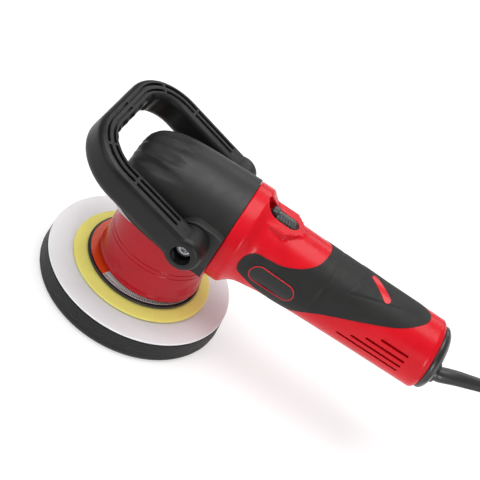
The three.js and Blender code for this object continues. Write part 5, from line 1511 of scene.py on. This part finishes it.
class POLISHER_OT_pad(bpy.types.Operator):
    """Builds the foam pad, its loop face, the hook sheet and the cushion."""

    bl_idname = "polisher.pad"
    bl_label = "Foam pad"

    def execute(self, context):
        build_pad()
        return {"FINISHED"}


class POLISHER_OT_plate(bpy.types.Operator):
    """Builds the backing plate and its printed film."""

    bl_idname = "polisher.plate"
    bl_label = "Backing plate"

    def execute(self, context):
        build_plate()
        return {"FINISHED"}


class POLISHER_OT_nose(bpy.types.Operator):
    """Builds the cast nose over the pad."""

    bl_idname = "polisher.nose"
    bl_label = "Nose casting"

    def execute(self, context):
        build_nose()
        return {"FINISHED"}


class POLISHER_OT_head(bpy.types.Operator):
    """Builds the fluted cover of the gear head."""

    bl_idname = "polisher.head"
    bl_label = "Head cover"

    def execute(self, context):
        build_head()
        return {"FINISHED"}


class POLISHER_OT_shells(bpy.types.Operator):
    """Builds the two halves of the body, with their vents, switch track and screw wells."""

    bl_idname = "polisher.shells"
    bl_label = "Body shells"

    def execute(self, context):
        build_shells()
        return {"FINISHED"}


class POLISHER_OT_grip(bpy.types.Operator):
    """Builds the soft palm grip moulded over the body."""

    bl_idname = "polisher.grip"
    bl_label = "Palm grip"

    def execute(self, context):
        build_boot()
        return {"FINISHED"}


class POLISHER_OT_badges(bpy.types.Operator):
    """Builds the plain side plate with its rim, and the stripe on the palm grip."""

    bl_idname = "polisher.badges"
    bl_label = "Side plate and stripe"

    def execute(self, context):
        build_badge()
        return {"FINISHED"}


class POLISHER_OT_tail(bpy.types.Operator):
    """Builds the rounded cap at the rear of the body."""

    bl_idname = "polisher.tail"
    bl_label = "Tail cap"

    def execute(self, context):
        build_tail()
        return {"FINISHED"}


class POLISHER_OT_controls(bpy.types.Operator):
    """Builds the sliding switch and the speed wheel."""

    bl_idname = "polisher.controls"
    bl_label = "Switch and speed wheel"

    def execute(self, context):
        build_switch()
        build_dial()
        return {"FINISHED"}


class POLISHER_OT_handle(bpy.types.Operator):
    """Builds the D-shaped front handle and its two bolts."""

    bl_idname = "polisher.handle"
    bl_label = "Front handle"

    def execute(self, context):
        build_handle()
        return {"FINISHED"}


class POLISHER_OT_inner_parts(bpy.types.Operator):
    """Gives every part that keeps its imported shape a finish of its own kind."""

    bl_idname = "polisher.inner_parts"
    bl_label = "Inner parts and fasteners"

    def execute(self, context):
        dress_inner_parts()
        return {"FINISHED"}


class POLISHER_OT_stage(bpy.types.Operator):
    """Lays a plain pale floor and hangs soft studio lights."""

    bl_idname = "polisher.stage"
    bl_label = "Floor and lights"

    def execute(self, context):
        build_stage()
        return {"FINISHED"}


OPERATORS = (
    POLISHER_OT_camera, POLISHER_OT_cord, POLISHER_OT_pad, POLISHER_OT_plate, POLISHER_OT_nose, POLISHER_OT_head,
    POLISHER_OT_shells, POLISHER_OT_grip, POLISHER_OT_badges, POLISHER_OT_tail, POLISHER_OT_controls,
    POLISHER_OT_handle, POLISHER_OT_inner_parts, POLISHER_OT_stage,
)


class POLISHER_PT_build(bpy.types.Panel):
    """Lists the polisher's pieces, colours and sizes."""

    bl_idname = "POLISHER_PT_build"
    bl_label = "Polisher"
    bl_space_type = "VIEW_3D"
    bl_region_type = "UI"
    bl_category = "Polisher"

    def draw(self, context):
        pieces = self.layout.column(align=True)
        for operator in OPERATORS:
            pieces.operator(operator.bl_idname)
        for title, group in (("Colours", colours()), ("Sizes", sizes())):
            box = self.layout.box()
            box.label(text=title)
            for key in group.__annotations__:
                box.prop(group, key)


CLASSES = (PolisherColours, PolisherSizes, *OPERATORS, POLISHER_PT_build)


def register():
    for kind in CLASSES:
        bpy.utils.register_class(kind)
    bpy.types.Scene.polisher_colours = PointerProperty(type=PolisherColours)
    bpy.types.Scene.polisher_sizes = PointerProperty(type=PolisherSizes)


def unregister():
    del bpy.types.Scene.polisher_sizes
    del bpy.types.Scene.polisher_colours
    for kind in reversed(CLASSES):
        bpy.utils.unregister_class(kind)


def main():
    register()
    for operator in OPERATORS:
        group, name = operator.bl_idname.split(".")
        getattr(getattr(bpy.ops, group), name)()
    bpy.context.view_layer.update()


if __name__ == "__main__":
    main()
